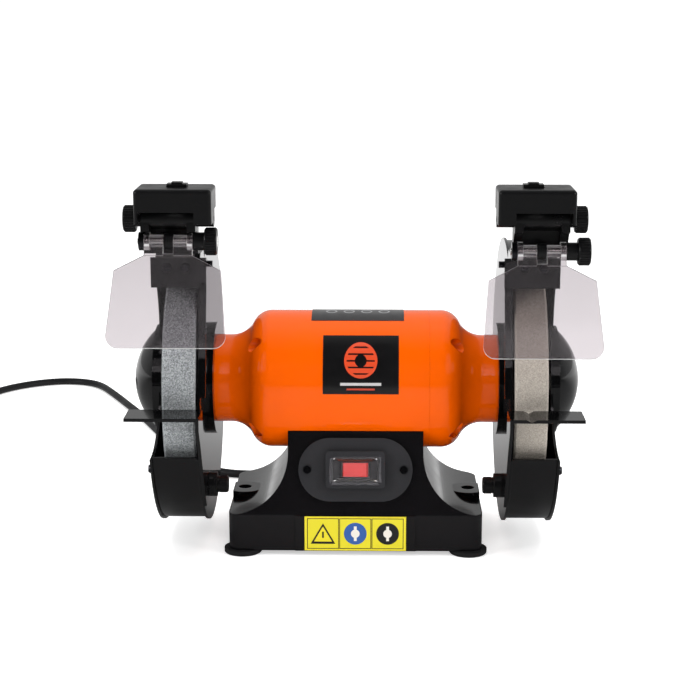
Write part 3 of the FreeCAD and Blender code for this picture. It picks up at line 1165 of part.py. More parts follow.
def coil_centre():
    """The cord runs into the coil along its tangent."""
    last = V(*CORD_ROUTE[-1])
    way = (last - V(*CORD_ROUTE[-2])).normalize()
    outward = V(way.y, -way.x, 0)
    return last + outward * (COIL_MEAN_DIAMETER / 2)


def make_coil():
    centre = coil_centre()
    half_band = COIL_TURNS_ACROSS * CORD_DIAMETER / 2
    height = COIL_TURNS_HIGH * CORD_DIAMETER
    outer = rod_z(0, height, COIL_MEAN_DIAMETER / 2 + half_band, centre.x, centre.y)
    return outer.cut(rod_z(-1, height + 1, COIL_MEAN_DIAMETER / 2 - half_band, centre.x, centre.y))


def make_plug():
    """Two-pin plug lying on the bench beside the coil, its neck against the coil."""
    width, depth, height = PLUG_BODY
    centre = coil_centre()
    reach = COIL_MEAN_DIAMETER / 2 + COIL_TURNS_ACROSS * CORD_DIAMETER / 2
    body = box(PLUG_NECK_LENGTH, PLUG_NECK_LENGTH + width, -depth / 2, depth / 2, 0, height)
    body = body.makeFillet(5.0, [e for e in body.Edges if abs(e.Vertexes[0].Z - e.Vertexes[1].Z) < 1e-6
                                 and e.CenterOfMass.z > height / 2] )
    neck = Part.makeCone(CORD_DIAMETER / 2, CORD_DIAMETER / 2 + 2.5, PLUG_NECK_LENGTH + 3,
                         V(-2, 0, height / 2), X_AXIS)
    pins = [rod_x(PLUG_NECK_LENGTH + width - 1, PLUG_NECK_LENGTH + width + PLUG_PIN_LENGTH, PLUG_PIN_RADIUS,
                  s * PLUG_PIN_SPACING / 2, height / 2) for s in (LEFT, RIGHT)]
    plug = fuse(body, neck, *pins)
    plug.translate(V(reach, 0, 0))
    plug.rotate(V(0, 0, 0), Z_AXIS, PLUG_TURN)
    plug.translate(V(centre.x, centre.y, 0))
    return plug


# ---- the whole grinder ----------------------------------------------------------------------------------
def build():
    os.makedirs("parts", exist_ok=True)

    save("base", make_base())
    save("base_cover", make_base_cover())
    save("rubber_feet", *make_feet())
    save("capacitor", make_capacitor())
    save("terminal_block", make_terminal_block())
    for name, solids in make_switch().items():
        save(name, *solids)
    save("hazard_label", make_hazard_label())
    save("name_plate", barrel_label(-25.6, 33.7, 0, 50))
    save("top_label", barrel_label(-35.5, 38.0, 68, 105))

    housing, end_bell = make_motor()
    save("motor_housing", housing)
    save("end_bell", end_bell)
    save("housing_bolts", *make_housing_bolts())
    core, windings = make_stator()
    save("stator_core", core)
    save("stator_windings", *windings)

    save("spindle_shaft", make_shaft())
    save("rotor", make_rotor())
    flanges, blotters, nuts, outer_rings, balls, inner_rings = [], [], [], [], [], []
    for name, side in SIDES:
        save(name + "_wheel", make_wheel(side))
        more_flanges, more_blotters, more_nuts = wheel_clamp(side)
        flanges += more_flanges
        blotters += more_blotters
        nuts += more_nuts
        outer_ring, more_balls, inner_ring = bearing(side)
        outer_rings.append(outer_ring)
        balls += more_balls
        inner_rings.append(inner_ring)
    save("wheel_flanges", *flanges)
    save("wheel_blotters", *blotters)
    save("spindle_nuts", *nuts)
    save("bearing_outer_rings", *outer_rings)
    save("bearing_balls", *balls)
    save("bearing_inner_rings", *inner_rings)

    cover_screws, guard_screws, deflector_screws, bracket_fasteners = [], [], [], []
    for name, side in SIDES:
        save(name + "_inner_guard", mirrored(make_inner_guard(), side))
        save(name + "_outer_cover", mirrored(make_outer_cover(), side))
        save(name + "_spark_deflector", mirrored(make_deflector(), side))
        save(name + "_tool_rest", mirrored(make_tool_rest(side == RIGHT), side))
        save(name + "_rest_knob", mirrored(make_rest_knob(), side))
        save(name + "_lamp_bracket", mirrored(make_bracket(name), side))
        save(name + "_eye_shield", make_shield(name, side))
        save(name + "_shield_knob", make_shield_knob(name, side))
        save(name + "_lamp_housing", mirrored(make_lamp_housing(), side))
        save(name + "_lamp_lens", mirrored(make_lamp_lens(), side))
        save(name + "_lamp_switch", mirrored(make_lamp_switch(), side))
        save(name + "_lamp_knob", mirrored(make_lamp_knob(), side))
        cover_screws += [mirrored(s, side) for s in make_cover_screws()]
        guard_screws += [mirrored(s, side) for s in make_guard_screws()]
        deflector_screws += [mirrored(s, side) for s in make_deflector_screws()]
        bracket_fasteners += [mirrored(make_bracket_bolt(), side), make_pivot_nut(name, side)]
    save("cover_screws", *cover_screws)
    save("guard_screws", *guard_screws)
    save("deflector_screws", *deflector_screws)
    save("bracket_fasteners", *bracket_fasteners)

    save("strain_relief", make_strain_relief())
    save("power_cord", cord_tube(CORD_ROUTE, CORD_DIAMETER / 2))
    save("cord_coil", make_coil())
    save("plug", make_plug())


build()
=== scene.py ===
"""Bench grinder: finishes, fine detail, mains cord and studio, built on the fixed CAD frame."""
import logging
import math
from dataclasses import dataclass, field
from enum import Enum
from typing import Any, Iterable, Sequence

import bpy
from mathutils import Euler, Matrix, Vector

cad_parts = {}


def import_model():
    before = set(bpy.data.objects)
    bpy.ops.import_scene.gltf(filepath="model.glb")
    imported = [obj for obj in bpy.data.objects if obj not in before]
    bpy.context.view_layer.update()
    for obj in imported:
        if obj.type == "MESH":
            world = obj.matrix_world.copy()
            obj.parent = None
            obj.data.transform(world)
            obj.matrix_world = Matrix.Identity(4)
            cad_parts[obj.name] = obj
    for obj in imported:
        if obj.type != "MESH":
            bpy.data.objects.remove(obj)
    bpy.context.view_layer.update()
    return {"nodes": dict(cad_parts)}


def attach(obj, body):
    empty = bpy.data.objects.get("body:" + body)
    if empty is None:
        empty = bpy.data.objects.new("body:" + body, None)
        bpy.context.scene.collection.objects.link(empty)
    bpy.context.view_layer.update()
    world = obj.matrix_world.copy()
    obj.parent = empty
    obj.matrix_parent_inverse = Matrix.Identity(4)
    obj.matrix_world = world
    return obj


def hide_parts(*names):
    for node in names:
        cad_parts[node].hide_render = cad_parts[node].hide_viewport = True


log = logging.getLogger("bench_grinder")
MM = 0.001
OUTLINE_SHIFT_Y = 8.4      # mm: the spindle stands this far behind the part's origin
AXIS_HEIGHT = 130.0        # mm above the bench
Point = tuple[float, float, float]


class Side(Enum):
    """The two ends of the grinder, as the user sees them, with the sign of X."""
    LEFT = -1
    RIGHT = 1

    def node(self, piece: str) -> str:
        """The CAD node's name for this side's piece."""
        return f"{self.name.lower()}_{piece}"


class Facing(Enum):
    """The way a screw head looks out."""
    LEFT = (-1.0, 0.0, 0.0)
    RIGHT = (1.0, 0.0, 0.0)
    USER = (0.0, -1.0, 0.0)


def linear(hex_colour: str) -> tuple[float, float, float, float]:
    """Turns an sRGB hex colour to linear light.

    Args:
        hex_colour: six hex digits, such as "F86201".

    Returns:
        Red, green, blue and an alpha of 1.
    """
    def channel(pair: str) -> float:
        """One channel, 0 to 1."""
        v = int(pair, 16) / 255
        return v / 12.92 if v <= 0.04045 else ((v + 0.055) / 1.055) ** 2.4
    return tuple(channel(hex_colour[i:i + 2]) for i in (0, 2, 4)) + (1.0,)


def add(tree: bpy.types.NodeTree, kind: str, inputs: dict | None = None, **settings: Any) -> bpy.types.Node:
    """Adds one node with its settings, values and links.

    Args:
        tree: the node tree.
        kind: the node's type name.
        inputs: value or source socket for each input name or number.
        **settings: the node's own properties.

    Returns:
        The new node.
    """
    node = tree.nodes.new(kind)
    for name, value in settings.items():
        setattr(node, name, value)
    for key, value in (inputs or {}).items():
        if isinstance(value, bpy.types.NodeSocket):
            tree.links.new(value, node.inputs[key])
        else:
            node.inputs[key].default_value = value
    return node


class Recipe:
    """A material under construction: its tree, its shader and coordinates in millimetres."""

    def __init__(self, name: str, **shader: Any) -> None:
        """Starts the material.

        Args:
            name: the finish's name.
            **shader: Principled inputs, with underscores for spaces.
        """
        self.material = bpy.data.materials.new(name)
        self.material.use_nodes = True
        self.tree = self.material.node_tree
        self.tree.nodes.clear()
        values = {key.replace("_", " "): value for key, value in shader.items()}
        self.shader = add(self.tree, "ShaderNodeBsdfPrincipled", values)
        self.output = add(self.tree, "ShaderNodeOutputMaterial", {"Surface": self.shader.outputs[0]})
        place = add(self.tree, "ShaderNodeTexCoord").outputs["Object"]
        self.mm = add(self.tree, "ShaderNodeVectorMath", {0: place, "Scale": 1000.0}, operation="SCALE").outputs[0]

    def noise(self, size: float, detail: float = 2.0, stretch: Point = (1.0, 1.0, 1.0)) -> bpy.types.NodeSocket:
        """Noise whose blotches are about `size` mm, drawn out by `stretch`.

        Returns:
            The factor socket.
        """
        scale = tuple(1.0 / (size * s) for s in stretch)
        where = add(self.tree, "ShaderNodeMapping", {"Vector": self.mm, "Scale": scale}).outputs[0]
        return add(self.tree, "ShaderNodeTexNoise", {"Vector": where, "Scale": 1.0, "Detail": detail}).outputs[0]

    def span(self, value: bpy.types.NodeSocket, low: float, high: float, source: tuple[float, float] = (0.3, 0.7)
             ) -> bpy.types.NodeSocket:
        """Maps a factor onto low to high.

        Returns:
            The mapped socket.
        """
        return add(self.tree, "ShaderNodeMapRange", {0: value, 1: source[0], 2: source[1], 3: low, 4: high}).outputs[0]

    def mix(self, factor: Any, below: Any, above: Any) -> bpy.types.NodeSocket:
        """Mixes two colours.

        Returns:
            The colour socket.
        """
        return add(self.tree, "ShaderNodeMix", {0: factor, 6: below, 7: above}, data_type="RGBA").outputs[2]

    def math(self, operation: str, a: Any, b: Any = 0.0) -> bpy.types.NodeSocket:
        """One arithmetic step."""
        return add(self.tree, "ShaderNodeMath", {0: a, 1: b}, operation=operation).outputs[0]

    def bump(self, height: bpy.types.NodeSocket, depth: float, edge: float = 0.0) -> None:
        """Raises the surface by `depth` mm along a height socket, with edges eased over `edge` mm."""
        bump = add(self.tree, "ShaderNodeBump", {"Height": height, "Distance": depth * MM})
        if edge:
            eased = add(self.tree, "ShaderNodeBevel", {"Radius": edge * MM}, samples=4)
            self.tree.links.new(eased.outputs[0], bump.inputs["Normal"])
        self.tree.links.new(bump.outputs[0], self.shader.inputs["Normal"])

    def feed(self, name: str, socket: bpy.types.NodeSocket) -> None:
        """Links a socket to one of the shader's inputs."""
        self.tree.links.new(socket, self.shader.inputs[name])


@dataclass(frozen=True)
class Enamel:
    """Stoved enamel on steel or cast aluminium: a hard gloss skin with faint orange peel and hand smudges."""
    name: str
    colour: str
    shade: str
    roughness: float = 0.12
    peel: float = 2.2
    peel_depth: float = 0.012
    edge: float = 0.9

    def build(self) -> bpy.types.Material:
        """Makes the material."""
        r = Recipe(self.name, IOR=1.5, Specular_IOR_Level=0.35, Coat_Weight=0.15, Coat_Roughness=0.04)
        r.feed("Base Color", r.mix(r.noise(28.0, 4.0), linear(self.shade), linear(self.colour)))
        r.feed("Roughness", r.span(r.noise(17.0, 5.0), self.roughness * 0.8, self.roughness * 1.6))
        r.bump(r.noise(self.peel, 1.0), self.peel_depth, self.edge)
        return r.material


@dataclass(frozen=True)
class AbrasiveGrit:
    """Vitrified grinding wheel: crushed grains of mixed greys in a dull bond, with open pores."""
    name: str
    grain: float
    dark: str
    middle: str
    light: str

    def build(self) -> bpy.types.Material:
        """Makes the material."""
        r = Recipe(self.name, Roughness=0.92)
        cells = add(r.tree, "ShaderNodeTexVoronoi", {"Vector": r.mm, "Scale": 1.0 / self.grain})
        ramp = add(r.tree, "ShaderNodeValToRGB", {0: cells.outputs["Color"]})
        ramp.color_ramp.elements[0].color = linear(self.dark)
        ramp.color_ramp.elements[1].color = linear(self.light)
        ramp.color_ramp.elements[1].position = 0.94
        ramp.color_ramp.elements.new(0.45).color = linear(self.middle)
        r.feed("Base Color", r.mix(r.span(r.noise(9.0, 3.0), 0.0, 0.22), ramp.outputs[0], linear(self.middle)))
        r.bump(cells.outputs["Distance"], self.grain * 0.35)
        return r.material


@dataclass(frozen=True)
class BareSteel:
    """Steel as turned, rolled or zinc plated: metallic, with fine lines drawn along one axis."""
    name: str
    colour: str
    roughness: float
    line: float = 0.3
    stretch: Point = (1.0, 1.0, 1.0)

    def build(self) -> bpy.types.Material:
        """Makes the material."""
        r = Recipe(self.name, Base_Color=linear(self.colour), Metallic=1.0)
        lines = r.noise(self.line, 2.0, self.stretch)
        r.feed("Roughness", r.span(lines, self.roughness * 0.75, self.roughness * 1.3))
        r.bump(lines, 0.006)
        return r.material


@dataclass(frozen=True)
class MouldedPlastic:
    """Injection-moulded ABS or nylon: even colour, a soft sheen and a faint spark-eroded grain."""
    name: str
    colour: str
    roughness: float = 0.38
    grain: float = 0.6
    grain_depth: float = 0.02

    def build(self) -> bpy.types.Material:
        """Makes the material."""
        r = Recipe(self.name, Base_Color=linear(self.colour), IOR=1.5, Specular_IOR_Level=0.3)
        grain = r.noise(self.grain, 2.0)
        r.feed("Roughness", r.span(r.noise(12.0, 3.0), self.roughness * 0.85, self.roughness * 1.2))
        r.bump(grain, self.grain_depth, 0.6)
        return r.material


@dataclass(frozen=True)
class BoltedNylon:
    """A nylon clamp knob moulded on a zinc plated bolt: dull black outside, bright metal down the middle."""
    name: str
    bolt_y: float
    bolt_z: float
    bolt_radius: float = 4.2
    thread: float = 0.8

    def build(self) -> bpy.types.Material:
        """Makes the material, with the bolt round the hinge line."""
        r = Recipe(self.name, IOR=1.5, Specular_IOR_Level=0.35)
        axes = add(r.tree, "ShaderNodeSeparateXYZ", {0: r.mm})
        across = r.math("POWER", r.math("SUBTRACT", axes.outputs["Y"], self.bolt_y), 2.0)
        up = r.math("POWER", r.math("SUBTRACT", axes.outputs["Z"], self.bolt_z), 2.0)
        bolt = r.math("LESS_THAN", r.math("ADD", across, up), self.bolt_radius ** 2)
        r.feed("Metallic", bolt)
        r.feed("Base Color", r.mix(bolt, linear("0D0D0E"), linear("E4E4E0")))
        r.feed("Roughness", r.span(bolt, 0.32, 0.24, (0.0, 1.0)))
        wave = add(r.tree, "ShaderNodeTexWave", {"Vector": r.mm, "Scale": 0.314 / self.thread}, bands_direction="X")
        r.bump(r.math("MULTIPLY", wave.outputs["Fac"], bolt), 0.25)
        return r.material


@dataclass(frozen=True)
class ClearMoulding:
    """Clear polycarbonate or silicone: it bends light, takes sharp gloss, and its cut edges are frosted pale."""
    name: str
    tint: str
    roughness: float = 0.03
    ior: float = 1.585
    face: Point = (0.0, -0.86, 0.51)
    frost: float = 0.0

    def build(self) -> bpy.types.Material:
        """Makes the material, which casts only a pale shadow."""
        r = Recipe(self.name, Base_Color=linear(self.tint), Transmission_Weight=1.0, IOR=self.ior)
        r.feed("Roughness", r.span(r.noise(22.0, 4.0), self.roughness * 0.6, self.roughness * 1.6))
        surface = r.shader.outputs[0]
        if self.frost:
            outward = add(r.tree, "ShaderNodeTexCoord").outputs["Normal"]
            facing = add(r.tree, "ShaderNodeVectorMath", {0: outward, 1: self.face}, operation="DOT_PRODUCT")
            edge = r.math("LESS_THAN", r.math("ABSOLUTE", facing.outputs["Value"]), 0.8)
            sawn = add(r.tree, "ShaderNodeBsdfPrincipled", {"Base Color": linear("FFFFFF"), "Roughness": 0.3,
                                                            "Transmission Weight": 0.35, "IOR": self.ior})
            surface = add(r.tree, "ShaderNodeMixShader", {0: r.math("MULTIPLY", edge, self.frost), 1: surface,
                                                          2: sawn.outputs[0]}).outputs[0]
        through = add(r.tree, "ShaderNodeBsdfTransparent", {"Color": linear(self.tint)})
        ray = add(r.tree, "ShaderNodeLightPath").outputs["Is Shadow Ray"]
        mixed = add(r.tree, "ShaderNodeMixShader", {0: ray, 1: surface, 2: through.outputs[0]})
        r.tree.links.new(mixed.outputs[0], r.output.inputs["Surface"])
        return r.material


@dataclass(frozen=True)
class WireWinding:
    """Enamelled copper wire wound on a ring: close glossy rounds about the spindle."""
    name: str = "enamelled copper wire"
    colour: str = "B4622D"
    wire: float = 0.9

    def build(self) -> bpy.types.Material:
        """Makes the material."""
        r = Recipe(self.name, Base_Color=linear(self.colour), Metallic=1.0, Roughness=0.3)
        wave = add(r.tree, "ShaderNodeTexWave", {"Vector": r.mm, "Scale": 0.314 / self.wire}, bands_direction="X")
        r.bump(wave.outputs["Fac"], 0.3)
        return r.material


@dataclass(frozen=True)
class LaminatedCore:
    """A stack of punched electrical steel sheets: dull grey edges, one line for each sheet."""
    name: str = "laminated core steel"
    sheet: float = 1.0

    def build(self) -> bpy.types.Material:
        """Makes the material."""
        r = Recipe(self.name, Metallic=1.0, Roughness=0.5)
        wave = add(r.tree, "ShaderNodeTexWave", {"Vector": r.mm, "Scale": 0.314 / self.sheet}, bands_direction="X")
        r.feed("Base Color", r.mix(wave.outputs["Fac"], linear("3C3C3E"), linear("8C8C90")))
        r.bump(wave.outputs["Fac"], 0.1)
        return r.material


@dataclass(frozen=True)
class BlotterPaper:
    """Soft compressible paper between wheel and flange: matt, fibrous and slightly buff."""
    name: str = "blotter paper"

    def build(self) -> bpy.types.Material:
        """Makes the material."""
        r = Recipe(self.name, Roughness=0.95, Sheen_Weight=0.2)
        fibre = r.noise(1.4, 4.0, (1.0, 0.3, 1.0))
        r.feed("Base Color", r.mix(fibre, linear("B5A88C"), linear("D9CFB8")))
        r.bump(fibre, 0.05)
        return r.material


@dataclass(frozen=True)
class LitRocker:
    """Red translucent ABS over a lamp: deep red with a warm glow from inside."""
    name: str = "lit red rocker plastic"
    colour: str = "C8140C"

    def build(self) -> bpy.types.Material:
        """Makes the material."""
        r = Recipe(self.name, Base_Color=linear(self.colour), IOR=1.5, Coat_Weight=0.5,
                   Emission_Color=linear("FF2A14"), Emission_Strength=0.12)
        r.feed("Roughness", r.span(r.noise(8.0), 0.14, 0.25))
        return r.material


class Signwork(Recipe):
    """A printed label drawn from plain shapes in the plane of X and one other axis, in mm."""

    def __init__(self, name: str, ground: str, up: str, **shader: Any) -> None:
        """Starts the label.

        Args:
            name: the finish's name.
            ground: the label's own colour.
            up: the axis, "Y" or "Z", that runs up the label.
            **shader: Principled inputs.
        """
        super().__init__(name, **shader)
        axes = add(self.tree, "ShaderNodeSeparateXYZ", {0: self.mm})
        self.x = axes.outputs["X"]
        self.up = axes.outputs[up]
        self.ink = self.mix(0.0, linear(ground), linear(ground))

    def paint(self, mask: bpy.types.NodeSocket, colour: str) -> None:
        """Prints a colour where the mask is 1."""
        self.ink = self.mix(mask, self.ink, linear(colour))

    def off(self, socket: bpy.types.NodeSocket, centre: float) -> bpy.types.NodeSocket:
        """Distance from a centre along one axis."""
        return self.math("ABSOLUTE", self.math("SUBTRACT", socket, centre))

    def block(self, centre: tuple[float, float], half: tuple[float, float]) -> bpy.types.NodeSocket:
        """Mask of a rectangle."""
        across = self.math("SUBTRACT", self.off(self.x, centre[0]), half[0])
        along = self.math("SUBTRACT", self.off(self.up, centre[1]), half[1])
        return self.math("LESS_THAN", self.math("MAXIMUM", across, along), 0.0)

    def disc(self, centre: tuple[float, float], radius: float) -> bpy.types.NodeSocket:
        """Mask of a disc."""
        across = self.math("POWER", self.off(self.x, centre[0]), 2.0)
        along = self.math("POWER", self.off(self.up, centre[1]), 2.0)
        return self.math("LESS_THAN", self.math("ADD", across, along), radius ** 2)

    def triangle(self, centre: tuple[float, float], height: float) -> bpy.types.NodeSocket:
        """Mask of an upright triangle."""
        slope = self.math("MULTIPLY", self.off(self.x, centre[0]), 1.732)
        side = self.math("SUBTRACT", self.math("ADD", slope, self.up), centre[1] + height / 2)
        foot = self.math("SUBTRACT", centre[1] - height / 2, self.up)
        return self.math("LESS_THAN", self.math("MAXIMUM", side, foot), 0.0)

    def done(self) -> bpy.types.Material:
        """Links the ink to the shader."""
        self.feed("Base Color", self.ink)
        self.feed("Roughness", self.span(self.noise(9.0), 0.3, 0.42))
        return self.material


@dataclass(frozen=True)
class HazardLabel:
    """Printed vinyl: yellow with three framed cells holding a triangle, a blue disc and a black disc."""
    name: str = "printed yellow vinyl"
    middle: float = 18.5
    pitch: float = 25.5
    cell: float = 12.6

    def build(self) -> bpy.types.Material:
        """Makes the material."""
        s = Signwork(self.name, "E9D813", "Z", IOR=1.5, Coat_Weight=0.3)
        for step, emblem in ((-1, "triangle"), (0, "disc"), (1, "wheel")):
            centre = (step * self.pitch, self.middle)
            s.paint(s.block(centre, (self.cell, self.cell)), "1A1A18")
            s.paint(s.block(centre, (self.cell - 0.6, self.cell - 0.6)), "E3D610")
            if emblem == "triangle":
                s.paint(s.triangle(centre, 17.0), "17161A")
                s.paint(s.triangle((centre[0], centre[1] - 0.4), 12.4), "E9D813")
                s.paint(s.block((centre[0], centre[1] - 1.0), (0.7, 2.6)), "17161A")
            else:
                s.paint(s.disc(centre, 9.0), "2458A6" if emblem == "disc" else "1A1A1C")
                s.paint(s.disc(centre, 3.4), "E9E4DA")
                s.paint(s.block(centre, (1.1, 6.0)), "E9E4DA")
        return s.done()


@dataclass(frozen=True)
class NamePlate:
    """Printed foil: gloss black with a plain striped roundel above two bars, and no words."""
    name: str = "printed black foil"
    centre: tuple[float, float] = (4.0, 151.3)

    def build(self) -> bpy.types.Material:
        """Makes the material."""
        s = Signwork(self.name, "0B0A0C", "Z", IOR=1.5, Coat_Weight=0.6, Coat_Roughness=0.06)
        roundel = (self.centre[0], self.centre[1] + 4.0)
        s.paint(s.disc(roundel, 13.0), "E4491C")
        stripe = s.math("LESS_THAN", s.math("PINGPONG", s.math("SUBTRACT", s.up, roundel[1]), 2.4), 0.6)
        s.paint(s.math("MULTIPLY", stripe, s.disc(roundel, 11.0)), "0B0A0C")
        s.paint(s.disc(roundel, 4.6), "0B0A0C")
        s.paint(s.block((self.centre[0], self.centre[1] - 13.5), (16.0, 1.1)), "C9C9C9")
        s.paint(s.block((self.centre[0], self.centre[1] - 17.5), (11.0, 0.7)), "C43A1A")
        return s.done()


@dataclass(frozen=True)
class TopLabel:
    """Printed foil on the crown of the motor: gloss black with four plain grey roundels."""
    name: str = "printed top foil"
    middle: float = 5.0
    pitch: float = 14.0

    def build(self) -> bpy.types.Material:
        """Makes the material."""
        s = Signwork(self.name, "131216", "Y", IOR=1.5, Coat_Weight=0.6, Coat_Roughness=0.06)
        for step in (-1.5, -0.5, 0.5, 1.5):
            s.paint(s.disc((1.2 + step * self.pitch, self.middle), 4.6), "8E8E90")
            s.paint(s.disc((1.2 + step * self.pitch, self.middle), 3.2), "2A2A2C")
        return s.done()


class Palette:
    """Every finish, built once, and the CAD nodes each one dresses."""

    def __init__(self) -> None:
        """Builds the finishes."""
        self.finishes: dict[str, bpy.types.Material] = {}
        for finish in (
            Enamel("black base enamel", "121113", "0D0C0E", roughness=0.12, peel=2.6, peel_depth=0.012, edge=1.6),
            Enamel("orange motor enamel", "F66000", "F05A00", roughness=0.06, peel=3.0, peel_depth=0.01),
            Enamel("black guard enamel", "09090A", "050506", roughness=0.06),
            AbrasiveGrit("coarse grey abrasive", 0.85, "5C5F60", "8C9092", "BCC0C2"),
            AbrasiveGrit("fine grey abrasive", 0.6, "8E867C", "AAA298", "C6BFB4"),
            BareSteel("zinc plated steel", "C6C6C2", 0.3),
            BareSteel("blackened screw steel", "3C3C40", 0.28),
            BareSteel("turned spindle steel", "B4B4B6", 0.28, 0.25, (0.6, 20.0, 20.0)),
            BareSteel("ground bearing steel", "D4D4D8", 0.1),
            BareSteel("drawn aluminium can", "C8CACC", 0.32, 0.3, (1.0, 30.0, 1.0)),
            MouldedPlastic("black moulded nylon", "0D0D0E", 0.32),
            MouldedPlastic("textured switch plastic", "2E2E31", 0.5, 0.9, 0.08),
            MouldedPlastic("black PVC", "121214", 0.45, 0.5, 0.015),
            MouldedPlastic("moulded foot rubber", "19191A", 0.75, 0.8, 0.05),
            BoltedNylon("left clamp nylon", -80.1, 255.0), BoltedNylon("right clamp nylon", -80.1, 248.0),
            ClearMoulding("clear polycarbonate", "BEB8BB", frost=0.75),
            ClearMoulding("clear silicone", "EFEDF0", 0.08, 1.41),
            WireWinding(), LaminatedCore(), BlotterPaper(), LitRocker(), HazardLabel(), NamePlate(), TopLabel(),
        ):
            self.finishes[finish.name] = finish.build()

    def __getitem__(self, name: str) -> bpy.types.Material:
        """The finish of that name."""
        return self.finishes[name]

    def dress(self, nodes: dict[str, bpy.types.Object]) -> None:
        """Gives each CAD node its finish.

        Args:
            nodes: the CAD nodes by name.
        """
        plan = {
            "black base enamel": ["base"],
            "orange motor enamel": ["motor_housing", "end_bell"],
            "black guard enamel": self.both("inner_guard", "outer_cover", "spark_deflector", "tool_rest"),
            "coarse grey abrasive": ["left_wheel"],
            "fine grey abrasive": ["right_wheel"],
            "zinc plated steel": ["base_cover", "wheel_flanges", "spindle_nuts", "housing_bolts"],
            "blackened screw steel": ["cover_screws", "guard_screws", "deflector_screws", "bracket_fasteners",
                                      "switch_plate_screws"],
            "turned spindle steel": ["spindle_shaft"],
            "ground bearing steel": ["bearing_outer_rings", "bearing_balls", "bearing_inner_rings"],
            "drawn aluminium can": ["capacitor"],
            "black moulded nylon": ["switch_body", "terminal_block"] + self.both(
                "rest_knob", "lamp_bracket", "lamp_housing", "lamp_switch", "lamp_knob"),
            "left clamp nylon": ["left_shield_knob"],
            "right clamp nylon": ["right_shield_knob"],
            "textured switch plastic": ["switch_plate"],
            "black PVC": ["power_cord", "cord_coil", "plug", "strain_relief"],
            "moulded foot rubber": ["rubber_feet"],
            "clear polycarbonate": self.both("eye_shield", "lamp_lens"),
            "clear silicone": ["switch_boot"],
            "enamelled copper wire": ["stator_windings"],
            "laminated core steel": ["stator_core", "rotor"],
            "blotter paper": ["wheel_blotters"],
            "lit red rocker plastic": ["rocker"],
            "printed yellow vinyl": ["hazard_label"],
            "printed black foil": ["name_plate"],
            "printed top foil": ["top_label"],
        }
        for finish, names in plan.items():
            for name in names:
                mesh = nodes[name].data
                mesh.materials.clear()
                mesh.materials.append(self.finishes[finish])
            log.info("%s on %s", finish, ", ".join(names))

    @staticmethod
    def both(*pieces: str) -> list[str]:
        """The left and right nodes of each piece."""
        return [side.node(piece) for piece in pieces for side in Side]


@dataclass
class MainsCord:
    """The mains cord: out of the strain relief, across the bench, and put away in a small coil."""
    diameter: float = 7.5
    length: float = 1.76
    floor: float = 4.05
    coil_centre: tuple[float, float] = (-450.85, 452.28)
    turn_step: float = 15.0
    coil_radius: float = 42.0
    upper_layer: float = 11.2
    turns: int = 4
    past_start: float = 70.0
    crossing_rate: float = 5.0
    route: Sequence[Point] = field(default_factory=lambda: (
        (-30.0, 97.0, 17.0), (-30.0, 119.0, 15.0), (-45.0, 144.0, 8.0), (-78.0, 152.0, 4.05),
        (-112.0, 150.0, 4.05), (-143.0, 167.0, 4.05), (-164.0, 203.0, 4.05), (-183.0, 252.0, 4.05),
        (-203.0, 304.0, 4.05), (-224.0, 357.0, 4.05), (-247.0, 408.0, 4.05), (-270.0, 458.0, 4.05),
        (-291.0, 500.0, 4.05), (-312.0, 516.0, 4.05),
        (-338.0, 519.0, 4.05), (-363.0, 509.0, 4.05), (-385.0, 491.0, 4.05), (-402.0, 466.0, 4.05),
        (-411.0, 439.0, 4.05)))

    def coil(self) -> list[Point]:
        """The turns, clockwise from the end of the route: outer and inner below, then inner and outer above.

        Returns:
            The route's further points, in mm.
        """
        last = self.route[-1]
        start = math.degrees(math.atan2(last[1] - self.coil_centre[1], last[0] - self.coil_centre[0]))
        wide, narrow = self.coil_radius + self.diameter / 2, self.coil_radius - self.diameter / 2
        low, high = self.floor, self.upper_layer
        rings = ((wide, low), (narrow, low), (narrow, high), (wide, high), (wide, high))
        turned, points = self.turn_step, []
        end = self.turns * 360.0 + (start + self.past_start)
        while turned <= end:
            at = turned / 360.0
            ring = int(at)
            part = min(1.0, (at - ring) * self.crossing_rate)
            before = rings[ring - 1] if ring else (self.coil_radius, low)
            radius = before[0] + (rings[ring][0] - before[0]) * part
            height = before[1] + (rings[ring][1] - before[1]) * part
            angle = math.radians(start - turned)
            points.append((self.coil_centre[0] + radius * math.cos(angle),
                           self.coil_centre[1] + radius * math.sin(angle), height))
            turned += self.turn_step
        return points

    def build(self, palette: Palette, nodes: dict[str, bpy.types.Object]) -> None:
        """Args:
            palette: the finishes.
            nodes: the CAD nodes by name; not used.
        """
        points = [(x * MM, (y + OUTLINE_SHIFT_Y) * MM, z * MM) for x, y, z in (*self.route, *self.coil())]
        curve = bpy.data.curves.new("mains_cord", "CURVE")
        curve.dimensions = "3D"
        curve.bevel_depth = self.diameter / 2 * MM
        curve.bevel_resolution = 5
        curve.resolution_u = 12
        curve.use_fill_caps = True
        line = curve.splines.new("NURBS")
        line.points.add(len(points) - 1)
        for point, place in zip(line.points, points):
            point.co = (*place, 1.0)
        line.order_u = 3
        line.use_endpoint_u = True
        curve.materials.append(palette["black PVC"])
        cord = bpy.data.objects.new("mains_cord", curve)
        bpy.context.collection.objects.link(cord)
        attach(cord, "frame")
        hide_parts("power_cord", "cord_coil")
        log.info("mains cord, %d points", len(points))


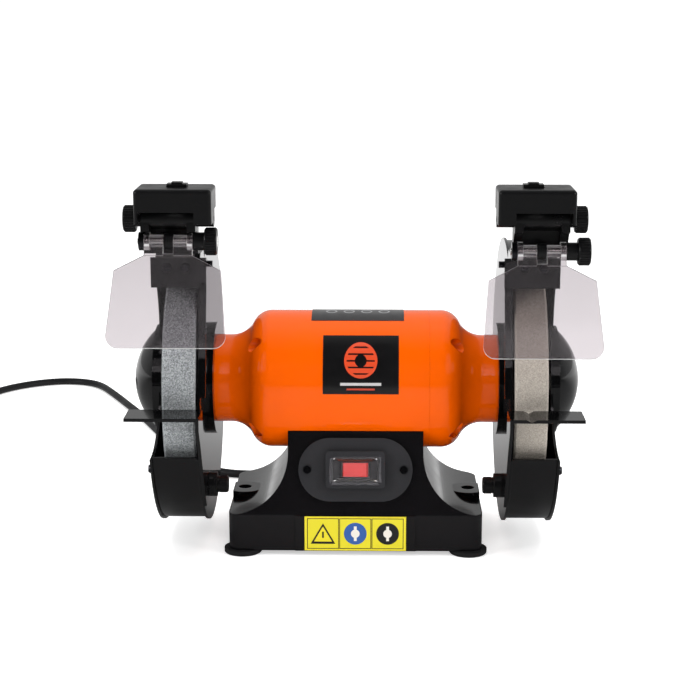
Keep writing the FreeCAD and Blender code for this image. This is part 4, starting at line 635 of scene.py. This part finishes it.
@dataclass
class ScrewSet:
    """A set of like cross-recess screws, repeated by one node tree."""
    name: str
    nodes: Sequence[str]
    seats: Sequence[tuple[Point, Facing]]
    head_radius: float
    head_height: float
    shank_radius: float
    shank_length: float
    finish: str = "blackened screw steel"

    def tree(self, material: bpy.types.Material) -> bpy.types.NodeTree:
        """The tree that stands a recessed head and its shank on every seat.

        Args:
            material: the screws' finish.

        Returns:
            The node tree, with its sizes as inputs.
        """
        tree = bpy.data.node_groups.new(self.name, "GeometryNodeTree")
        tree.interface.new_socket("Seats", in_out="INPUT", socket_type="NodeSocketGeometry")
        for size in ("Head radius", "Head height", "Shank radius", "Shank length"):
            tree.interface.new_socket(size, in_out="INPUT", socket_type="NodeSocketFloat")
        tree.interface.new_socket("Screws", in_out="OUTPUT", socket_type="NodeSocketGeometry")
        given = add(tree, "NodeGroupInput").outputs
        head = add(tree, "GeometryNodeMeshCone", {
            "Vertices": 32, "Radius Bottom": given["Head radius"], "Depth": given["Head height"]})
        top = add(tree, "ShaderNodeMath", {0: given["Head radius"], 1: 0.72}, operation="MULTIPLY")
        tree.links.new(top.outputs[0], head.inputs["Radius Top"])
        blade_long = add(tree, "ShaderNodeMath", {0: given["Head radius"], 1: 1.15}, operation="MULTIPLY").outputs[0]
        blade_thin = add(tree, "ShaderNodeMath", {0: given["Head radius"], 1: 0.24}, operation="MULTIPLY").outputs[0]
        bars = []
        for order in (("long", "thin"), ("thin", "long")):
            pick = {"long": blade_long, "thin": blade_thin}
            size = add(tree, "ShaderNodeCombineXYZ", {0: pick[order[0]], 1: pick[order[1]], 2: given["Head height"]})
            cube = add(tree, "GeometryNodeMeshCube", {"Size": size.outputs[0]})
            lift = add(tree, "ShaderNodeMath", {0: given["Head height"], 1: 1.1}, operation="MULTIPLY")
            up = add(tree, "ShaderNodeCombineXYZ", {2: lift.outputs[0]})
            bars.append(add(tree, "GeometryNodeTransform", {"Geometry": cube.outputs[0],
                                                            "Translation": up.outputs[0]}).outputs[0])
        cut = add(tree, "GeometryNodeMeshBoolean", {"Mesh 1": head.outputs[0]}, operation="DIFFERENCE")
        for bar in bars:
            tree.links.new(bar, cut.inputs["Mesh 2"])
        shank = add(tree, "GeometryNodeMeshCylinder", {"Vertices": 20, "Radius": given["Shank radius"],
                                                       "Depth": given["Shank length"]})
        half = add(tree, "ShaderNodeMath", {0: given["Shank length"], 1: -0.5}, operation="MULTIPLY")
        down = add(tree, "ShaderNodeCombineXYZ", {2: half.outputs[0]})
        sunk = add(tree, "GeometryNodeTransform", {"Geometry": shank.outputs[0], "Translation": down.outputs[0]})
        screw = add(tree, "GeometryNodeJoinGeometry")
        tree.links.new(cut.outputs[0], screw.inputs[0])
        tree.links.new(sunk.outputs[0], screw.inputs[0])
        out = add(tree, "GeometryNodeInputNamedAttribute", {"Name": "outward"}, data_type="FLOAT_VECTOR")
        turn = add(tree, "FunctionNodeAlignRotationToVector", {"Vector": out.outputs[0]}, axis="Z")
        stand = add(tree, "GeometryNodeInstanceOnPoints", {"Points": given["Seats"], "Instance": screw.outputs[0],
                                                           "Rotation": turn.outputs[0]})
        real = add(tree, "GeometryNodeRealizeInstances", {"Geometry": stand.outputs[0]})
        painted = add(tree, "GeometryNodeSetMaterial", {"Geometry": real.outputs[0], "Material": material})
        add(tree, "NodeGroupOutput", {0: painted.outputs[0]})
        return tree

    def build(self, palette: Palette) -> bpy.types.Object:
        """Makes the screws a plain mesh that rides on the frame.

        Args:
            palette: the finishes.

        Returns:
            The piece.
        """
        seats = bpy.data.meshes.new(self.name + "_seats")
        seats.from_pydata([[x * MM, y * MM, z * MM] for (x, y, z), _ in self.seats], [], [])
        outward = seats.attributes.new("outward", "FLOAT_VECTOR", "POINT")
        for item, (_, facing) in zip(outward.data, self.seats):
            item.vector = facing.value
        sizes = {"Head radius": self.head_radius, "Head height": self.head_height,
                 "Shank radius": self.shank_radius, "Shank length": self.shank_length}
        return grow(self.name, seats, self.tree(palette[self.finish]), sizes, palette[self.finish], self.nodes)


def grow(name: str, base: bpy.types.Mesh, tree: bpy.types.NodeTree, sizes: dict[str, float],
         material: bpy.types.Material, stands_for: Iterable[str], body: str = "frame") -> bpy.types.Object:
    """Runs a node tree on a mesh and keeps the result as a plain mesh at the origin.

    Args:
        name: the piece's name.
        base: the mesh the tree grows from.
        tree: the node tree.
        sizes: its named inputs, in mm.
        material: the finish.
        stands_for: CAD nodes the piece replaces.
        body: the CAD body it rides on.

    Returns:
        The piece.
    """
    maker = bpy.data.objects.new(name + "_maker", base)
    bpy.context.collection.objects.link(maker)
    modifier = maker.modifiers.new("nodes", "NODES")
    modifier.node_group = tree
    for item in tree.interface.items_tree:
        if item.item_type == "SOCKET" and item.in_out == "INPUT" and item.name in sizes:
            modifier[item.identifier] = sizes[item.name] * MM
    evaluated = maker.evaluated_get(bpy.context.evaluated_depsgraph_get())
    mesh = bpy.data.meshes.new_from_object(evaluated)
    mesh.name = name
    maker.modifiers.remove(modifier)
    bpy.data.objects.remove(maker)
    mesh.materials.clear()
    mesh.materials.append(material)
    piece = bpy.data.objects.new(name, mesh)
    bpy.context.collection.objects.link(piece)
    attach(piece, body)
    names = list(stands_for)
    if names:
        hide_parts(*names)
    log.info("%s: %d faces", name, len(mesh.polygons))
    return piece


@dataclass
class Fasteners:
    """The screws that show on the guard covers and the spark deflectors."""
    cover_face: float = 155.3
    cover_circle: tuple[tuple[float, float], ...] = ((-85.6, 80.0), (8.4, 23.5), (114.9, 130.0), (44.8, 230.1))
    deflector_x: tuple[float, float] = (128.0, 142.0)
    deflector_seat: float = -71.75

    def build(self, palette: Palette) -> None:
        """Makes each set."""
        cover = [((side.value * self.cover_face, y, z), Facing.LEFT if side is Side.LEFT else Facing.RIGHT)
                 for side in Side for y, z in self.cover_circle]
        ScrewSet("cover_screw_set", ["cover_screws"], cover, 3.9, 2.6, 2.0, 12.0).build(palette)
        front = [((side.value * x, self.deflector_seat, 233.5), Facing.USER) for side in Side for x in self.deflector_x]
        ScrewSet("deflector_screw_set", ["deflector_screws"], front, 3.8, 2.2, 1.6, 8.0).build(palette)


@dataclass
class KnobKnurl:
    """The ridges round a clamp knob's rim, repeated by one node tree."""
    name: str
    body: str
    centre: Point
    rim: float
    length: float
    ridge: float = 0.55
    count: int = 30

    def tree(self, material: bpy.types.Material) -> bpy.types.NodeTree:
        """The tree that stands rounded ridges on a circle about X.

        Args:
            material: the knob's finish.

        Returns:
            The node tree, with its sizes as inputs.
        """
        tree = bpy.data.node_groups.new(self.name, "GeometryNodeTree")
        tree.interface.new_socket("Seats", in_out="INPUT", socket_type="NodeSocketGeometry")
        for size in ("Rim radius", "Ridge radius", "Ridge length"):
            tree.interface.new_socket(size, in_out="INPUT", socket_type="NodeSocketFloat")
        tree.interface.new_socket("Knurl", in_out="OUTPUT", socket_type="NodeSocketGeometry")
        given = add(tree, "NodeGroupInput").outputs
        along_x = (0.0, math.pi / 2, 0.0)
        circle = add(tree, "GeometryNodeMeshCircle", {"Vertices": self.count, "Radius": given["Rim radius"]})
        rim = add(tree, "GeometryNodeTransform", {"Geometry": circle.outputs[0], "Rotation": along_x})
        ridge = add(tree, "GeometryNodeMeshCylinder", {"Vertices": 8, "Radius": given["Ridge radius"],
                                                       "Depth": given["Ridge length"]})
        laid = add(tree, "GeometryNodeTransform", {"Geometry": ridge.outputs[0], "Rotation": along_x})
        ring = add(tree, "GeometryNodeInstanceOnPoints", {"Points": rim.outputs[0], "Instance": laid.outputs[0]})
        placed = add(tree, "GeometryNodeInstanceOnPoints", {"Points": given["Seats"], "Instance": ring.outputs[0]})
        real = add(tree, "GeometryNodeRealizeInstances", {"Geometry": placed.outputs[0]})
        painted = add(tree, "GeometryNodeSetMaterial", {"Geometry": real.outputs[0], "Material": material})
        add(tree, "NodeGroupOutput", {0: painted.outputs[0]})
        return tree

    def build(self, palette: Palette) -> bpy.types.Object:
        """Makes the ridges a plain mesh that rides with the knob.

        Args:
            palette: the finishes.

        Returns:
            The piece.
        """
        seat = bpy.data.meshes.new(self.name + "_seat")
        seat.from_pydata([[value * MM for value in self.centre]], [], [])
        material = palette["black moulded nylon"]
        sizes = {"Rim radius": self.rim, "Ridge radius": self.ridge, "Ridge length": self.length}
        return grow(self.name, seat, self.tree(material), sizes, material, (), self.body)


@dataclass
class ClampKnobs:
    """The hand knobs that clamp the shields, lamps and tool rests."""
    hinge_y: float = -80.1
    lamp_z: float = 272.0
    rest: tuple[float, float] = (-51.6, 58.0)

    def build(self, palette: Palette) -> None:
        """Makes the ridges of all six knobs."""
        for side, shield_x, shield_z in ((Side.LEFT, -107.4, 255.0), (Side.RIGHT, 170.6, 248.0)):
            name = side.name.lower()
            KnobKnurl(f"{name}_shield_knurl", f"{name}_shield_clamp", (shield_x, self.hinge_y, shield_z),
                      9.9, 7.4).build(palette)
            KnobKnurl(f"{name}_lamp_knurl", f"{name}_lamp_clamp", (side.value * 167.6, self.hinge_y, self.lamp_z),
                      9.6, 7.4).build(palette)
            KnobKnurl(f"{name}_rest_knurl", f"{name}_rest_clamp", (side.value * 103.7, *self.rest),
                      6.3, 5.6, ridge=0.4, count=24).build(palette)


@dataclass
class ShieldCollars:
    """The raised clear collars at both ends of each shield's hinge barrel."""
    hinge_y: float = -80.1
    half_span: float = 18.0
    middle: float = 139.0
    width: float = 4.0
    outer: float = 7.2
    inner: float = 5.9
    facets: int = 40

    def ring(self, low_x: float, z: float) -> tuple[list[Point], list[tuple[int, ...]]]:
        """One collar about the hinge line.

        Args:
            low_x: its left face, in mm.
            z: the hinge line's height, in mm.

        Returns:
            Corner points in metres, and faces that look outwards.
        """
        rows = ((low_x, self.outer), (low_x + self.width, self.outer), (low_x + self.width, self.inner),
                (low_x, self.inner))
        points, faces = [], []
        for step in range(self.facets):
            angle = 2 * math.pi * step / self.facets
            points += [(x * MM, (self.hinge_y + r * math.cos(angle)) * MM, (z + r * math.sin(angle)) * MM)
                       for x, r in rows]
        for step in range(self.facets):
            here, there = 4 * step, 4 * ((step + 1) % self.facets)
            for row in range(4):
                after = (row + 1) % 4
                faces.append((here + row, here + after, there + after, there + row))
        return points, faces

    def build(self, palette: Palette) -> None:
        """Makes both shields' collars."""
        for side, z in ((Side.LEFT, 255.0), (Side.RIGHT, 248.0)):
            points, faces = [], []
            for end in (-1, 1):
                centre = side.value * self.middle + end * (self.half_span - self.width / 2)
                more, skin = self.ring(centre - self.width / 2, z)
                faces += [tuple(len(points) + corner for corner in face) for face in skin]
                points += more
            mesh = bpy.data.meshes.new(f"{side.name.lower()}_shield_collars")
            mesh.from_pydata(points, [], faces)
            mesh.materials.append(palette["clear polycarbonate"])
            piece = bpy.data.objects.new(mesh.name, mesh)
            bpy.context.collection.objects.link(piece)
            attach(piece, f"{side.name.lower()}_shield")
            log.info("%s", piece.name)


@dataclass
class Studio:
    """Camera, floor and lights."""
    camera_place: Point = (0.0177, -1.3456, 0.446)
    pitch: float = 77.8
    yaw: float = 0.97
    lens: float = 88.1
    front_wall: float = 0.08
    back_wall: float = 1.1
    flagged: float = 0.45

    def build(self) -> None:
        """Sets up the camera, then the floor, world and lamps."""
        camera = bpy.data.cameras.new("camera")
        camera.lens = self.lens
        camera.sensor_width = 36.0
        camera.clip_end = 100.0
        seat = bpy.data.objects.new("camera", camera)
        seat.location = self.camera_place
        seat.rotation_euler = Euler((math.radians(self.pitch), 0.0, math.radians(self.yaw)))
        bpy.context.collection.objects.link(seat)
        scene = bpy.context.scene
        scene.camera = seat
        scene.view_settings.view_transform = "Standard"
        mesh = bpy.data.meshes.new("floor")
        mesh.from_pydata([(-40, -40, 0), (40, -40, 0), (40, 40, 0), (-40, 40, 0)], [], [(0, 1, 2, 3)])
        floor = bpy.data.objects.new("floor", mesh)
        bpy.context.collection.objects.link(floor)
        r = Recipe("pale studio floor", Roughness=0.9, Specular_IOR_Level=0.0, Emission_Color=linear("FFFFFF"))
        mirrored = self.mirrored(r.tree)
        depth = add(r.tree, "ShaderNodeSeparateXYZ", {0: r.mm}).outputs["Y"]
        behind = r.math("MULTIPLY", r.span(depth, 0.0, 0.9, (200.0, 900.0)), mirrored)
        r.feed("Emission Strength", r.math("ADD", r.span(mirrored, 0.52, 0.0, (0.0, 1.0)), behind))
        r.feed("Base Color", r.mix(mirrored, linear("F7F7F7"), linear("8A8A8A")))
        mesh.materials.append(r.material)
        world = bpy.data.worlds.new("studio")
        scene.world = world
        world.use_nodes = True
        tree = world.node_tree
        way = add(tree, "ShaderNodeSeparateXYZ", {0: add(tree, "ShaderNodeTexCoord").outputs["Generated"]})
        level = add(tree, "ShaderNodeMapRange", {0: way.outputs["Y"], 1: -0.35, 2: 0.3, 3: self.front_wall,
                                                 4: self.back_wall})
        mirrored = self.mirrored(tree)
        flag = add(tree, "ShaderNodeMapRange", {0: mirrored, 1: 0.0, 2: 1.0, 3: 1.0, 4: self.flagged})
        dimmed = add(tree, "ShaderNodeMath", {0: level.outputs[0], 1: flag.outputs[0]}, operation="MULTIPLY")
        path = add(tree, "ShaderNodeLightPath").outputs
        straight = add(tree, "ShaderNodeMath", {0: path["Is Camera Ray"], 1: path["Is Transmission Ray"]},
                       operation="MAXIMUM")
        seen = add(tree, "ShaderNodeMath", {0: straight.outputs[0], 1: dimmed.outputs[0]}, operation="MAXIMUM")
        tree.links.new(seen.outputs[0], tree.nodes["Background"].inputs[1])
        tree.nodes["Background"].inputs[0].default_value = (1.0, 1.0, 1.0, 1.0)
        self.lamp("key", (-1.6, -0.9, 0.9), 0.45, 11.0)
        self.lamp("fill", (1.6, -0.9, 0.9), 0.45, 10.0)
        self.lamp("front", (0.2, -2.2, 1.0), 1.4, 9.0, glints=False)
        self.lamp("top", (0.0, -0.1, 1.8), 1.6, 22.0, glints=False)

    @staticmethod
    def mirrored(tree: bpy.types.NodeTree) -> bpy.types.NodeSocket:
        """1 for what gloss reflects and 0 for what is seen straight or through a clear sheet."""
        path = add(tree, "ShaderNodeLightPath").outputs
        clear = add(tree, "ShaderNodeMath", {0: 1.0, 1: path["Is Transmission Ray"]}, operation="SUBTRACT")
        return add(tree, "ShaderNodeMath", {0: path["Is Glossy Ray"], 1: clear.outputs[0]},
                   operation="MULTIPLY").outputs[0]

    @staticmethod
    def lamp(name: str, place: Point, size: float, power: float, glints: bool = True) -> None:
        """Adds a square soft light aimed at the grinder.

        Args:
            name: the light's name.
            place: where it stands, in metres.
            size: its side, in metres.
            power: watts.
            glints: whether gloss mirrors it.
        """
        data = bpy.data.lights.new(name, "AREA")
        data.size = size
        data.energy = power
        light = bpy.data.objects.new(name, data)
        light.location = place
        light.visible_glossy = glints
        aim = Vector((0.0, 0.0, 0.15)) - Vector(place)
        light.rotation_euler = aim.to_track_quat("-Z", "Y").to_euler()
        bpy.context.collection.objects.link(light)


def main() -> None:
    """Builds everything in order."""
    logging.basicConfig(level=logging.INFO)
    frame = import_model()
    Studio().build()
    palette = Palette()
    palette.dress(frame["nodes"])
    MainsCord().build(palette, frame["nodes"])
    Fasteners().build(palette)
    ClampKnobs().build(palette)
    ShieldCollars().build(palette)


if __name__ == "__main__":
    main()
